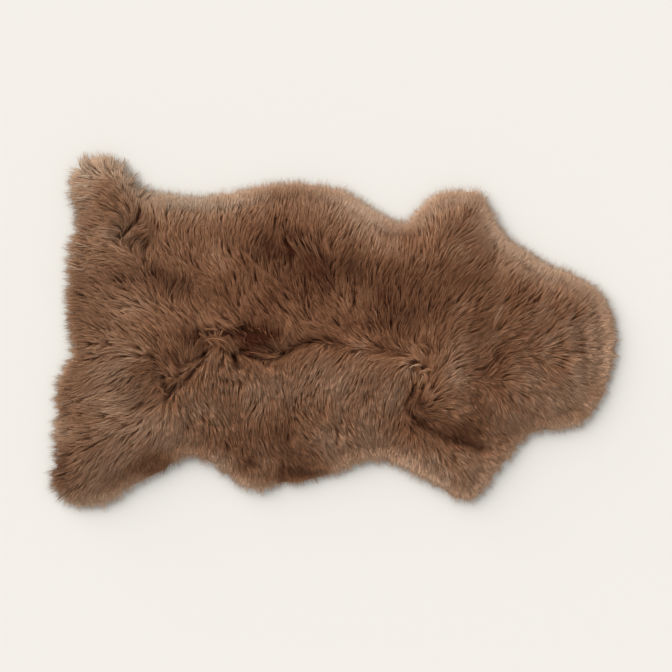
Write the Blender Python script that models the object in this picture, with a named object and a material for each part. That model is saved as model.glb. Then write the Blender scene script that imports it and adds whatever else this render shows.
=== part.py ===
"""A sheepskin throw: one long-wool skin, lying flat with its wool up.

Skin and wool are one solid. It is a lumpy slab with the outline of the skin, four legs and a
neck, parted along the folds of the wool, with pointed locks of wool round its rim that rest on
the floor. +X points along the skin to the neck, +Y to the skin's left side, +Z up. The origin is
under the middle of the throw, on the floor. Sizes are in millimetres until the mesh is made.
"""

import math
import random
from collections import namedtuple

import bmesh
import bpy
from mathutils import Matrix, Vector
from mathutils.geometry import delaunay_2d_cdt

MILLIMETRE = 0.001

# Driving sizes: the throw over the tips of its wool, and how high the combed wool stands
THROW_LENGTH = 1000.0
THROW_WIDTH = 630.0
PILE_HEIGHT = 40.0

# The wool rolls over from its full height to a low rim. A rounder roll rises more steeply.
RIM_HEIGHT = 14.0
RIM_ROLL = 58.0
ROLL_ROUNDNESS = 2.6

# The edge is a curve with this many pieces from one station to the next. The rim lies inside it,
# with its corners eased this many times.
EDGE_PIECES = 24
RIM_EASING = 80
UNEVEN_LOCKS = 0.22

# Locks of wool round the rim. Slimness is the longest lock over its width.
LOCK_REACH = 21.0
LOCK_COUNT = 280
LOCK_SLIMNESS = 2.8
LOCK_SHOULDER = 0.4
SHOULDER_WIDTH = 0.72
TIP_WIDTH = 0.1
LOCK_LEAN = math.radians(36)
LOCK_CURL = math.radians(12)
NOTCH_ROOM = 0.88

# Tufts are the soft ridges that the wool lies in.
SURFACE_PITCH = 13.0
TUFT_COUNT = 620
TUFT_LENGTH = 34.0
TUFT_WIDTH = 11.0
TUFT_HEIGHT = 5.5
COMB_REACH = 15.0
WOOL_SEED = 41

Station = namedtuple("Station", "x y")
Fold = namedtuple("Fold", "name width depth route")
Swell = namedtuple("Swell", "name x y length width turn rise")
Comb = namedtuple("Comb", "x y way")

# Where the tips of the wool end, anticlockwise seen from above, part by part.
EDGE = {
    "neck": (
        Station(500, -35),
        Station(499, -5),
        Station(494, 33),
        Station(480, 57),
        Station(460, 78),
    ),
    "left of the neck": (
        Station(418, 103),
        Station(372, 116),
        Station(352, 136),
        Station(316, 154),
        Station(295, 184),
    ),
    "left foreleg": (
        Station(277, 216),
        Station(260, 247),
        Station(214, 246),
        Station(178, 238),
        Station(155, 221),
        Station(139, 200),
    ),
    "left flank": (
        Station(124, 187),
        Station(96, 199),
        Station(68, 214),
        Station(40, 236),
        Station(0, 253),
        Station(-54, 259),
        Station(-118, 257),
        Station(-166, 246),
        Station(-222, 236),
        Station(-270, 238),
        Station(-305, 244),
    ),
    "left hind leg": (
        Station(-334, 250),
        Station(-348, 271),
        Station(-371, 299),
        Station(-403, 311),
        Station(-432, 305),
        Station(-454, 293),
        Station(-467, 260),
        Station(-465, 224),
        Station(-451, 202),
    ),
    "rump": (
        Station(-459, 172),
        Station(-471, 134),
        Station(-470, 80),
        Station(-472, 28),
        Station(-464, -14),
        Station(-465, -40),
        Station(-482, -75),
        Station(-492, -122),
        Station(-491, -165),
        Station(-496, -200),
        Station(-491, -226),
    ),
    "right hind leg": (
        Station(-499, -250),
        Station(-492, -286),
        Station(-466, -307),
        Station(-414, -312),
        Station(-374, -292),
        Station(-338, -269),
    ),
    "right flank": (
        Station(-288, -242),
        Station(-253, -224),
        Station(-213, -240),
        Station(-173, -270),
        Station(-134, -288),
        Station(-104, -272),
        Station(-70, -273),
        Station(-22, -262),
        Station(22, -247),
        Station(70, -230),
        Station(112, -237),
    ),
    "right foreleg": (
        Station(148, -260),
        Station(181, -276),
        Station(212, -297),
        Station(245, -303),
        Station(274, -275),
        Station(294, -244),
        Station(317, -224),
        Station(327, -198),
    ),
    "right of the neck": (
        Station(360, -180),
        Station(400, -178),
        Station(446, -162),
        Station(466, -133),
        Station(482, -110),
        Station(490, -78),
    ),
}

# Partings and folds in the wool. width is from the middle of a fold to where it has gone.
FOLDS = (
    Fold("back parting", 17, 17, ((-168, -34), (-127, -44), (-85, -37), (-42, -15), (-15, -12))),
    Fold("back parting to the withers", 15, 12, ((-15, -12), (20, -26), (60, -38), (155, -37))),
    Fold("tangle over the loin", 22, 14, ((-228, 2), (-200, -8), (-165, -6), (-135, -8))),
    Fold("hip fold", 15, 14, ((-290, -108), (-256, -82), (-240, -60), (-222, -25))),
    Fold("whorl at the hip", 17, 12, ((-344, -132), (-318, -118), (-303, -92), (-292, -66))),
    Fold("whorl at the withers", 19, 15, ((146, -62), (138, -100), (124, -122), (134, -143))),
    Fold("shoulder fold", 18, 17, ((134, -143), (160, -157), (195, -178), (246, -191), (264, -204))),
    Fold("shoulder band", 24, 7, ((290, 133), (277, 88), (288, 36), (272, -25), (262, -70))),
    Fold("neck fold", 18, 8, ((430, 12), (438, -25), (438, -60), (429, -95))),
    Fold("left hock fold", 15, 14, ((-376, 164), (-358, 186), (-343, 204), (-340, 222))),
    Fold("left groin", 18, 9, ((-334, 152), (-322, 172), (-318, 205))),
    Fold("right groin", 16, 9, ((-152, -236), (-128, -222), (-106, -226))),
    Fold("right belly fold", 19, 13, ((-104, -222), (-54, -242), (-8, -246), (24, -232))),
)

# Broad rises of the wool, and hollows where rise is negative. turn is in degrees.
SWELLS = (
    Swell("back", -60, 70, 260, 80, 4, -3.5),
    Swell("left ribs", -90, 165, 150, 60, 0, 3.0),
    Swell("hollow of the ribs", -60, 125, 90, 34, 10, -4.5),
    Swell("behind the left shoulder", 62, 70, 90, 45, -35, -4.5),
    Swell("withers", 205, 40, 85, 120, 0, 4.5),
    Swell("neck ruff", 375, 20, 80, 130, 8, 3.5),
    Swell("neck end", 470, -40, 26, 90, 0, 3.0),
    Swell("right ribs", -50, -120, 210, 70, -4, 3.5),
    Swell("right shoulder", 215, -120, 80, 50, -20, 4.0),
    Swell("right elbow", 235, -255, 50, 35, -40, 3.0),
    Swell("belly bulge", -150, -262, 60, 30, 0, 4.0),
    Swell("rump", -400, 60, 90, 140, 0, 2.0),
    Swell("croup hollow", -290, 90, 70, 40, 20, -4.0),
    Swell("right thigh", -400, -200, 80, 60, 0, 3.0),
    Swell("right hock hollow", -325, -222, 55, 28, 25, -4.0),
    Swell("left hock", -415, 235, 50, 60, 10, 3.0),
)

# Which way the wool lies, in degrees anticlockwise from +X.
LIE = (
    Comb(-430, 230, 170),
    Comb(-420, 290, 110),
    Comb(-345, 245, 65),
    Comb(-410, 60, 160),
    Comb(-345, 90, 150),
    Comb(-420, -130, 187),
    Comb(-430, -250, 220),
    Comb(-400, -285, 245),
    Comb(-325, -155, 235),
    Comb(-270, -170, 280),
    Comb(-320, -245, 285),
    Comb(-320, 200, 90),
    Comb(-230, 120, 103),
    Comb(-150, 70, 110),
    Comb(-110, 195, 75),
    Comb(10, 195, 72),
    Comb(80, 175, 80),
    Comb(28, 54, 125),
    Comb(65, -15, 145),
    Comb(-150, -120, 275),
    Comb(-40, -75, 255),
    Comb(95, -52, 215),
    Comb(-40, -165, 310),
    Comb(60, -190, 285),
    Comb(-25, -252, 320),
    Comb(-155, -255, 270),
    Comb(115, 125, 90),
    Comb(200, 220, 90),
    Comb(255, 200, 60),
    Comb(290, 160, 35),
    Comb(220, 140, 40),
    Comb(185, 70, 70),
    Comb(240, 55, 45),
    Comb(325, 105, 45),
    Comb(395, 72, 62),
    Comb(445, 55, 45),
    Comb(465, 0, 20),
    Comb(465, -50, -5),
    Comb(465, -105, -25),
    Comb(360, -70, -20),
    Comb(395, -120, -42),
    Comb(325, -120, -45),
    Comb(290, -155, -60),
    Comb(237, -50, 25),
    Comb(203, -138, -8),
    Comb(167, -225, -77),
    Comb(220, -260, -80),
    Comb(272, -225, -40),
    Comb(106, -200, 240),
)


def remove_everything():
    """The scene starts empty."""
    for thing in list(bpy.data.objects):
        bpy.data.objects.remove(thing, do_unlink=True)


def smooth_route(points, pieces, closed):
    """A Catmull-Rom curve through the points, with this many pieces between two of them."""
    count = len(points)
    route = []
    for index in range(count if closed else count - 1):
        if closed:
            near = [points[(index + step) % count] for step in (-1, 0, 1, 2)]
        else:
            near = [points[min(max(index + step, 0), count - 1)] for step in (-1, 0, 1, 2)]
        before, start, end, after = (Vector(point) for point in near)
        for piece in range(pieces):
            share = piece / pieces
            route.append(
                0.5
                * (
                    2 * start
                    + (end - before) * share
                    + (2 * before - 5 * start + 4 * end - after) * share**2
                    + (3 * start - before - 3 * end + after) * share**3
                )
            )
    if not closed:
        route.append(Vector(points[-1]))
    return route


def outward_at(loop, index, reach):
    """The direction straight out of an anticlockwise loop, read over a stretch of it."""
    ahead = loop[(index + reach) % len(loop)] - loop[index - reach]
    return Vector((ahead.y, -ahead.x)).normalized()


def relaxed(loop, rounds):
    """The loop with its sharp corners eased."""
    for _ in range(rounds):
        loop = [
            (loop[index - 1] + 2 * loop[index] + loop[(index + 1) % len(loop)]) / 4
            for index in range(len(loop))
        ]
    return loop


def rim_roots():
    """The places between two locks, where the slab ends, spread unevenly round the throw."""
    stations = [station for part in EDGE.values() for station in part]
    tips = smooth_route(stations, EDGE_PIECES, closed=True)
    reach = EDGE_PIECES // 3
    roots = [tip - LOCK_REACH * outward_at(tips, index, reach) for index, tip in enumerate(tips)]
    roots = relaxed(roots, RIM_EASING)
    steps = []
    for index in range(len(tips)):
        tip_step = (tips[index] - tips[index - 1]).length
        root_step = (roots[index] - roots[index - 1]).length
        steps.append((tip_step + root_step) / 2)
    spacing = sum(steps) / LOCK_COUNT
    draw = random.Random(WOOL_SEED)
    chosen = []
    travelled = 0.0
    wanted = 0.0
    for index, step in enumerate(steps):
        travelled += step
        if travelled >= wanted and len(chosen) < LOCK_COUNT:
            chosen.append(roots[index])
            wanted = spacing * (len(chosen) + draw.uniform(-UNEVEN_LOCKS, UNEVEN_LOCKS))
    return chosen


def lie_at(point):
    """The way the wool lies at a point, as a unit vector, blended from the nearest rows of LIE."""
    blend = Vector((0.0, 0.0))
    for comb in LIE:
        away = (point - Vector((comb.x, comb.y))).length_squared
        turn = math.radians(comb.way)
        blend += Vector((math.cos(turn), math.sin(turn))) / (away + COMB_REACH**2) ** 1.5
    return blend.normalized()


def nearest_on(route, point):
    """The distance from a point to a route of short straight pieces."""
    best = math.inf
    for start, end in zip(route, route[1:]):
        along = end - start
        share = (point - start).dot(along) / max(along.length_squared, 1e-9)
        best = min(best, (point - start - along * min(max(share, 0.0), 1.0)).length)
    return best


def tufts():
    """Soft ridges of wool, each lying the way the wool is combed: (middle, way, height)."""
    draw = random.Random(WOOL_SEED)
    found = []
    for _ in range(TUFT_COUNT):
        middle = Vector((draw.uniform(-0.5, 0.5) * THROW_LENGTH, draw.uniform(-0.5, 0.5) * THROW_WIDTH))
        found.append((middle, lie_at(middle), TUFT_HEIGHT * draw.uniform(-0.7, 1.0)))
    return found


def height_at(point, rim, folds, ridges):
    """The height of the wool over the floor."""
    inside = min(nearest_on(rim, point) / RIM_ROLL, 1.0)
    swell = 0.0
    for row in SWELLS:
        local = Matrix.Rotation(-math.radians(row.turn), 2) @ (point - Vector((row.x, row.y)))
        swell += row.rise * math.exp(-((local.x / row.length) ** 2) - (local.y / row.width) ** 2)
    for middle, way, rise in ridges:
        offset = point - middle
        if offset.length_squared > (2.2 * TUFT_LENGTH) ** 2:
            continue
        along = offset.dot(way) / TUFT_LENGTH
        across = (offset.x * way.y - offset.y * way.x) / TUFT_WIDTH
        swell += rise * math.exp(-(along**2) - across**2)
    dip = 0.0
    for fold, route in folds:
        dip = max(dip, fold.depth * math.exp(-((nearest_on(route, point) / fold.width) ** 2)))
    roll = math.sqrt(1 - (1 - inside) ** ROLL_ROUNDNESS)
    return RIM_HEIGHT + roll * (PILE_HEIGHT - RIM_HEIGHT + swell - dip)


def within(loop, point):
    """Whether a point lies inside a closed loop."""
    inside = False
    for start, end in zip(loop, loop[1:] + loop[:1]):
        if (start.y > point.y) != (end.y > point.y):
            crossing = start.x + (point.y - start.y) * (end.x - start.x) / (end.y - start.y)
            inside ^= point.x < crossing
    return inside


def surface_points(rim, folds):
    """Points for the top of the wool: along the folds, and on a grid of triangles elsewhere."""
    clear = 0.6 * SURFACE_PITCH
    on_folds = []
    for _, route in folds:
        for point in route:
            if all((point - other).length > clear for other in on_folds):
                on_folds.append(point)
    on_grid = []
    row_step = SURFACE_PITCH * math.sqrt(3) / 2
    half_count = math.ceil(THROW_LENGTH / 2 / row_step)
    for row in range(-half_count, half_count + 1):
        shift = SURFACE_PITCH / 2 * (row % 2)
        for column in range(-half_count, half_count + 1):
            point = Vector((column * SURFACE_PITCH + shift, row * row_step))
            if all((point - other).length > clear for other in on_folds):
                on_grid.append(point)
    loop = rim + rim[:1]
    return [
        point
        for point in on_folds + on_grid
        if within(rim, point) and nearest_on(loop, point) > clear
    ]


def make_slab(bm, rim, loop):
    """The skin and its wool as a lumpy slab, and the faces of its rim."""
    folds = [(fold, smooth_route(fold.route, 5, closed=False)) for fold in FOLDS]
    ridges = tufts()
    count = len(rim)
    corners = rim + surface_points(rim, folds)
    sides = [(index, (index + 1) % count) for index in range(count)]
    places, _, triangles, _, _, _ = delaunay_2d_cdt(corners, sides, [list(range(count))], 1, 1e-4)
    verts = [
        bm.verts.new((place.x, place.y, height_at(place, loop, folds, ridges)))
        for place in places
    ]
    for triangle in triangles:
        bm.faces.new([verts[index] for index in triangle])
    edge = [side for side in bm.edges if side.is_boundary]
    below = bmesh.ops.extrude_edge_only(bm, edges=edge)["geom"]
    for vert in below:
        if isinstance(vert, bmesh.types.BMVert):
            vert.co.z = 0.0
    bm.verts.index_update()
    band = [face for face in below if isinstance(face, bmesh.types.BMFace)]
    band.sort(key=lambda face: sorted(vert.index for vert in face.verts))
    floor_edge = [side for side in bm.edges if side.is_boundary]
    bmesh.ops.contextual_create(bm, geom=floor_edge)
    bmesh.ops.recalc_face_normals(bm, faces=bm.faces)
    return band


def lock_face(bm, face, way, step, narrowing, height):
    """Draws a face out into the next stretch of a lock, narrower and lower, its foot on the floor."""
    drawn = bmesh.ops.extrude_discrete_faces(bm, faces=[face])["faces"][0]
    middle = drawn.calc_center_median()
    for vert in drawn.verts:
        on_top = vert.co.z > middle.z
        vert.co.x = middle.x + (vert.co.x - middle.x) * narrowing + way.x * step
        vert.co.y = middle.y + (vert.co.y - middle.y) * narrowing + way.y * step
        vert.co.z = height if on_top else 0.0
    return drawn


def room_for_lock(root, out, loop):
    """How far a lock may reach, as a share: less in a notch, to stay clear of those across it."""
    share = 1.0
    while nearest_on(loop, root + out * LOCK_REACH * share) < NOTCH_ROOM * LOCK_REACH * share:
        share *= NOTCH_ROOM
    return share


def make_locks(bm, band, loop):
    """Pulls each face of the rim out into a pointed lock that rests level on the floor."""
    draw = random.Random(WOOL_SEED)
    for face in band:
        root = face.calc_center_median().to_2d()
        out = face.normal.to_2d().normalized()
        lie = lie_at(root)
        room = room_for_lock(root, out, loop)
        lean = max(min(out.angle_signed(lie), LOCK_LEAN), -LOCK_LEAN) * room**3
        way = Matrix.Rotation(-lean, 2) @ out
        curl = Matrix.Rotation(draw.uniform(-LOCK_CURL, LOCK_CURL) * room**3, 2)
        width = face.calc_area() / RIM_HEIGHT
        length = min(LOCK_REACH * draw.uniform(0.8, 1.5), LOCK_SLIMNESS * width) * room
        shoulder_height = RIM_HEIGHT * draw.uniform(0.6, 0.8)
        to_shoulder = LOCK_SHOULDER * length
        shoulder = lock_face(bm, face, way, to_shoulder, SHOULDER_WIDTH, shoulder_height)
        tip = lock_face(bm, shoulder, curl @ way, length - to_shoulder, TIP_WIDTH, 0.0)
        middle = tip.calc_center_median()
        bmesh.ops.pointmerge(bm, verts=tip.verts, merge_co=(middle.x, middle.y, 0.0))


def wool_material():
    """Brown long wool, with no gloss."""
    material = bpy.data.materials.new("brown_wool")
    material.use_nodes = True
    shader = material.node_tree.nodes["Principled BSDF"]
    shader.inputs["Base Color"].default_value = (0.19, 0.105, 0.066, 1.0)
    shader.inputs["Roughness"].default_value = 0.85
    shader.inputs["Metallic"].default_value = 0.0
    return material


def make_throw():
    """The throw as one object, centred over the origin and resting on the floor."""
    bm = bmesh.new()
    rim = rim_roots()
    loop = rim + rim[:1]
    make_locks(bm, make_slab(bm, rim, loop), loop)
    across = [vert.co.x for vert in bm.verts]
    along = [vert.co.y for vert in bm.verts]
    middle = Vector(((min(across) + max(across)) / 2, (min(along) + max(along)) / 2, 0.0))
    bmesh.ops.translate(bm, verts=bm.verts, vec=-middle)
    bmesh.ops.scale(bm, verts=bm.verts, vec=(MILLIMETRE, MILLIMETRE, MILLIMETRE))
    bmesh.ops.recalc_face_normals(bm, faces=bm.faces)
    mesh = bpy.data.meshes.new("sheepskin")
    bm.to_mesh(mesh)
    bm.free()
    mesh.shade_smooth()
    mesh.set_sharp_from_angle(angle=math.radians(60))
    mesh.materials.append(wool_material())
    throw = bpy.data.objects.new("sheepskin", mesh)
    collection = bpy.data.collections.new("sheepskin throw")
    bpy.context.scene.collection.children.link(collection)
    collection.objects.link(throw)
    return throw


remove_everything()
make_throw()
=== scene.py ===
# %% [markdown]
# # A sheepskin throw
# A sheepskin throw is one tanned skin with its wool still on. Seen from above there is only wool:
# thousands of soft locks that lie the way the skin was combed, part along its folds and point out
# over its edge. This lesson builds that wool lock by lock over the plain solid of the throw, which
# gives its outline, its height and its folds.
#
# Blender's hair curves would be quicker to draw, but other programs can't read them. So the wool
# here is ordinary mesh: one tapered strand is modelled and laid many thousands of times.

# %% Load the throw's solid as the frame
import math
from collections import namedtuple

import bpy
import numpy as np
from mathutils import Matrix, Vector
from mathutils.bvhtree import BVHTree
from mathutils.kdtree import KDTree


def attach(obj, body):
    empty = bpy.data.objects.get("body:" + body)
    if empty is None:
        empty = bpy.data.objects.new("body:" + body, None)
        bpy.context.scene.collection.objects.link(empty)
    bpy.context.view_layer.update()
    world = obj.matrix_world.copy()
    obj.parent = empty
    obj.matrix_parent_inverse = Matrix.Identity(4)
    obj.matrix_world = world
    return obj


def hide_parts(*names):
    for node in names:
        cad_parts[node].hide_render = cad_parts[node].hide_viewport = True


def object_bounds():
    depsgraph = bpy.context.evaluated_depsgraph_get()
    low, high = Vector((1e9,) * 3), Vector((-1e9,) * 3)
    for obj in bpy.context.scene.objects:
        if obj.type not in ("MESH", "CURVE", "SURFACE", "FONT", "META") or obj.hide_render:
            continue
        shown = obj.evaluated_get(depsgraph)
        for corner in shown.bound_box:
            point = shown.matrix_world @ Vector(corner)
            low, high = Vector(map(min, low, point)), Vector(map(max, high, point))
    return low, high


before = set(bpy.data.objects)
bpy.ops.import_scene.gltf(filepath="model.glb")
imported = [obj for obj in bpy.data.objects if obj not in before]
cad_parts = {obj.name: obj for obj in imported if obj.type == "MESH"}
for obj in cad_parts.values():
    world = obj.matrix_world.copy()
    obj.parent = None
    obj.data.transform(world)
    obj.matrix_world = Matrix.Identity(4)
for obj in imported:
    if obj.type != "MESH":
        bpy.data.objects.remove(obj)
cad_low, cad_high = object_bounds()
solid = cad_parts["sheepskin"]
MM = 0.001
print("the solid measures", [round((high - low) / MM) for low, high in zip(cad_low, cad_high)], "mm")

# %% [markdown]
# ## Reading places off the photo
# The photo looks straight down on the throw, so a place on it is a pixel of the photo times the
# size of a pixel. The tables below name their pixel columns, and `from_photo` turns them into
# metres on the throw.

# %% Places on the photo
PHOTO_SIDE = 672
PHOTO_MIDDLE = (334.5, 331.0)
PIXEL = 1.75 * MM


def from_photo(photo_x, photo_y):
    """A place on the throw, in metres, from a place in the photo, in pixels."""
    across = (np.asarray(photo_x, float) - PHOTO_MIDDLE[0]) * PIXEL
    up = (PHOTO_MIDDLE[1] - np.asarray(photo_y, float)) * PIXEL
    return np.stack([across, up], axis=-1)


print("the photo shows", round(PHOTO_SIDE * PIXEL, 3), "m of floor")

# %% [markdown]
# ## The camera, the floor and the light
# The camera hangs over the throw with a long lens, as a product photographer's does, so that the
# edge is seen as straight down as the middle. The floor is a warm white. A wide, soft sun from the
# upper left makes the shade, and an even sky fills it.

# %% Camera
CAMERA_HEIGHT = 3.4
MIDDLE_OF_WOOL = 0.03
AIM_OFFSET = np.array((-1.4, 2.4)) * MM
view_middle = from_photo(PHOTO_SIDE / 2, PHOTO_SIDE / 2) + AIM_OFFSET
bpy.ops.object.camera_add(location=(view_middle[0], view_middle[1], CAMERA_HEIGHT))
camera = bpy.context.object
camera.name = "overhead_camera"
camera.data.lens = camera.data.sensor_width * (CAMERA_HEIGHT - MIDDLE_OF_WOOL) / (PHOTO_SIDE * PIXEL)
camera.data.clip_end = 20.0
bpy.context.scene.camera = camera
print("lens", round(camera.data.lens, 1), "mm")

# %% Floor
FLOOR_SIDE = 8.0
FLOOR_GAP = 0.3 * MM
FLOOR_COLOUR = (0.787, 0.768, 0.725, 1.0)


def deselect():
    """Nothing stays selected, because an operator works on all that is."""
    if bpy.context.mode != "OBJECT":
        bpy.ops.object.mode_set(mode="OBJECT")
    bpy.ops.object.select_all(action="DESELECT")


deselect()
bpy.ops.mesh.primitive_plane_add(size=FLOOR_SIDE, location=(0.0, 0.0, -FLOOR_GAP))
floor = bpy.context.object
floor.name = "floor"
paint = bpy.data.materials.new("warm_white_floor")
paint.use_nodes = True
floor_shader = paint.node_tree.nodes["Principled BSDF"]
floor_shader.inputs["Base Color"].default_value = FLOOR_COLOUR
floor_shader.inputs["Roughness"].default_value = 0.9
floor_shader.inputs["Specular IOR Level"].default_value = 0.2
floor.data.materials.append(paint)
print("floor laid")

# %% Light
SUN_HEIGHT = math.radians(35)
SUN_SIDE = math.radians(135)
SUN_WIDTH = math.radians(66)
SUN_STRENGTH = 3.2
SUN_COLOUR = (1.0, 0.985, 0.96)
SKY_STRENGTH = 0.56
deselect()
bpy.ops.object.light_add(type="SUN", location=(-2.0, 2.0, 3.0))
sun = bpy.context.object
sun.name = "soft_sun"
sun.data.energy = SUN_STRENGTH
sun.data.angle = SUN_WIDTH
sun.data.color = SUN_COLOUR
sunward = Vector(
    (
        math.cos(SUN_HEIGHT) * math.cos(SUN_SIDE),
        math.cos(SUN_HEIGHT) * math.sin(SUN_SIDE),
        math.sin(SUN_HEIGHT),
    )
)
sun.rotation_euler = sunward.to_track_quat("Z", "Y").to_euler()
sky = bpy.data.worlds.new("even_sky")
sky.use_nodes = True
sky.node_tree.nodes["Background"].inputs["Color"].default_value = (1.0, 1.0, 1.0, 1.0)
sky.node_tree.nodes["Background"].inputs["Strength"].default_value = SKY_STRENGTH
bpy.context.scene.world = sky
bpy.context.scene.view_settings.view_transform = "Standard"
print("sun and sky set")

# %% [markdown]
# ## The height of the wool
# The solid under this scene already has the throw's outline, its swells and its folds. Rays shot
# down on it give the height of the wool on a fine grid, and the rest of the lesson reads that grid:
# how high the wool stands at a place, how far in from the rim the place is, and which way is out.

# %% A grid over the throw
CELL = 3.0 * MM
MARGIN = 48.0 * MM
RAYS_START = 50.0 * MM
grid_x = np.arange(cad_low.x - MARGIN, cad_high.x + MARGIN, CELL)
grid_y = np.arange(cad_low.y - MARGIN, cad_high.y + MARGIN, CELL)
solid_tree = BVHTree.FromObject(solid, bpy.context.evaluated_depsgraph_get())
above = cad_high.z + RAYS_START
heights = np.zeros((len(grid_y), len(grid_x)))
for row, y in enumerate(grid_y):
    for column, x in enumerate(grid_x):
        hit = solid_tree.ray_cast(Vector((x, y, above)), Vector((0.0, 0.0, -1.0)))[0]
        if hit is not None:
            heights[row, column] = hit.z
print("grid of", heights.shape, "highest wool", round(heights.max() / MM, 1), "mm")


# %% Distance from the rim
RIM_HEIGHT = 14.0 * MM


def softened(grid, rounds):
    """The grid with each value evened out over its neighbours."""
    for _ in range(rounds):
        padded = np.pad(grid, 1, mode="edge")
        grid = (
            padded[:-2, 1:-1] + padded[2:, 1:-1] + padded[1:-1, :-2] + padded[1:-1, 2:] + 4 * grid
        ) / 8
    return grid


def tree_of(places):
    """A tree that finds the one of places, an array of (x, y), that is nearest to a point."""
    tree = KDTree(len(places))
    for index, (x, y) in enumerate(places):
        tree.insert((x, y, 0.0), index)
    tree.balance()
    return tree


def nearest(tree, places):
    """For each of places, which one of the tree's own places is nearest."""
    return np.array([tree.find((x, y, 0.0))[1] for x, y in places])


on_slab = heights > 0.9 * RIM_HEIGHT
steps = on_slab[1:-1, 1:-1] & ~(
    on_slab[:-2, 1:-1] & on_slab[2:, 1:-1] & on_slab[1:-1, :-2] & on_slab[1:-1, 2:]
)
rim_rows, rim_columns = np.nonzero(np.pad(steps, 1))
rim_tree = tree_of(np.stack([grid_x[rim_columns], grid_y[rim_rows]], axis=-1))
inside = np.zeros_like(heights)
for row, y in enumerate(grid_y):
    for column, x in enumerate(grid_x):
        away = rim_tree.find((x, y, 0.0))[2]
        inside[row, column] = away if on_slab[row, column] else -away
inside = softened(inside, rounds=6)
slope_y, slope_x = np.gradient(softened(inside, rounds=12), CELL)
print("deepest place is", round(inside.max() / MM), "mm in from the rim")


# %% Read a grid between its points
def read(grid, places):
    """The grid's value at places, an array of (x, y), evened between its four nearest points."""
    column = np.clip((places[..., 0] - grid_x[0]) / CELL, 0, len(grid_x) - 1.001)
    row = np.clip((places[..., 1] - grid_y[0]) / CELL, 0, len(grid_y) - 1.001)
    left, low = column.astype(int), row.astype(int)
    right_share, up_share = column - left, row - low
    below = grid[low, left] * (1 - right_share) + grid[low, left + 1] * right_share
    over = grid[low + 1, left] * (1 - right_share) + grid[low + 1, left + 1] * right_share
    return below * (1 - up_share) + over * up_share


def unit(vectors):
    """Vectors made one long."""
    return vectors / np.maximum(np.linalg.norm(vectors, axis=-1, keepdims=True), 1e-9)


def outward(places):
    """The direction straight out over the nearest rim."""
    return -unit(np.stack([read(slope_x, places), read(slope_y, places)], axis=-1))


# %% [markdown]
# ## Creases
# Where the skin folds, or where two ways of lying meet, the wool sinks into a narrow dark line. Each
# row follows one such line over the photo. Its width and its depth are in millimetres, and its shade
# is how much darker the wool's colour is painted there, as painted shade in the crease.

# %% The creases
Crease = namedtuple("Crease", "name width depth shade line")
CREASES = (
    Crease("left foot, right edge", 11, 14, 0.0, ((124, 158), (132, 172), (141, 186))),
    Crease(
        "left hock fold", 3.5, 11, 0.5,
        ((138, 205), (139, 213), (135, 221), (128, 227), (121, 235)),
    ),
    Crease("left hock, lower fold", 5, 8, 0.28, ((126, 241), (133, 238), (146, 242), (143, 249))),
    Crease(
        "hind-centre fold", 4, 14, 0.42,
        ((165, 398), (173, 388), (185, 381), (194, 369), (202, 361), (204, 352)),
    ),
    Crease("hip whorl", 5, 8, 0.30, ((150, 353), (157, 366), (163, 380), (166, 393))),
    Crease("hip hollow", 4, 7, 0.32, ((136, 407), (143, 402))),
    Crease(
        "loin tangle", 5, 14, 0.5,
        ((199, 334), (207, 328), (216, 331), (224, 331), (232, 334), (241, 327)),
    ),
    Crease("loin hole", 5, 18, 0.55, ((232, 354), (235, 360), (237, 366))),
    Crease(
        "back line", 5, 9, 0.22,
        ((240, 351), (262, 357), (285, 353), (298, 346), (310, 340), (327, 338), (345, 344)),
    ),
    Crease("back line, withers", 5, 5, 0.12, ((365, 352), (400, 352), (412, 355))),
    Crease("withers curl", 4, 10, 0.32, ((411, 362), (413, 372), (411, 382))),
    Crease("withers curl, right", 4, 8, 0.28, ((424, 366), (427, 376), (422, 384))),
    Crease("withers fold", 4.5, 13, 0.36, ((413, 386), (411, 395), (405, 403), (410, 413), (419, 423))),
    Crease("shoulder fold", 8, 12, 0.26, ((419, 423), (432, 431), (449, 439), (466, 443), (482, 449))),
    Crease("shoulder blade nick", 4, 7, 0.28, ((421, 349), (429, 351))),
    Crease("mid back nick", 3.5, 7, 0.26, ((353, 289), (355, 297), (354, 305))),
    Crease("ribs hollow", 6, 7, 0.22, ((288, 243), (292, 249), (290, 258))),
    Crease("ribs parting", 6, 6, 0.08, ((318, 240), (322, 252), (328, 262), (331, 276))),
    Crease("neck band", 6, 8, 0.20, ((507, 330), (503, 345), (495, 361), (489, 373))),
    Crease("neck arc", 3.5, 8, 0.26, ((577, 326), (582, 338), (584, 352), (584, 366), (582, 380))),
    Crease("belly dimple", 9, 9, 0.26, ((243, 466), (247, 461), (253, 465))),
    Crease("belly recess", 8, 8, 0.24, ((280, 479), (282, 468), (300, 470), (325, 472))),
)


def line_shape(places, crease):
    """How deep in the crease places are: 1 on its line, and near 0 at twice its width from it."""
    gap = np.full(places.shape[:-1], 1.0)
    corners = from_photo(*zip(*crease.line))
    for start, end in zip(corners, corners[1:]):
        run = end - start
        share = np.clip((places - start) @ run / (run @ run), 0, 1)
        gap = np.minimum(gap, np.linalg.norm(places - start - share[..., None] * run, axis=-1))
    return np.exp(-((gap / (crease.width * MM)) ** 2))


grid_places = np.stack(np.meshgrid(grid_x, grid_y), axis=-1)
crease_depth = np.zeros_like(heights)
# Painted shade: how much darker the colour is painted in and near the creases.
painted_crease_shade = np.zeros_like(heights)
for crease in CREASES:
    shape = line_shape(grid_places, crease)
    crease_depth = np.maximum(crease_depth, shape * crease.depth * MM)
    painted_crease_shade = np.maximum(painted_crease_shade, shape * crease.shade)
print("creases:", len(CREASES))

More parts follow.
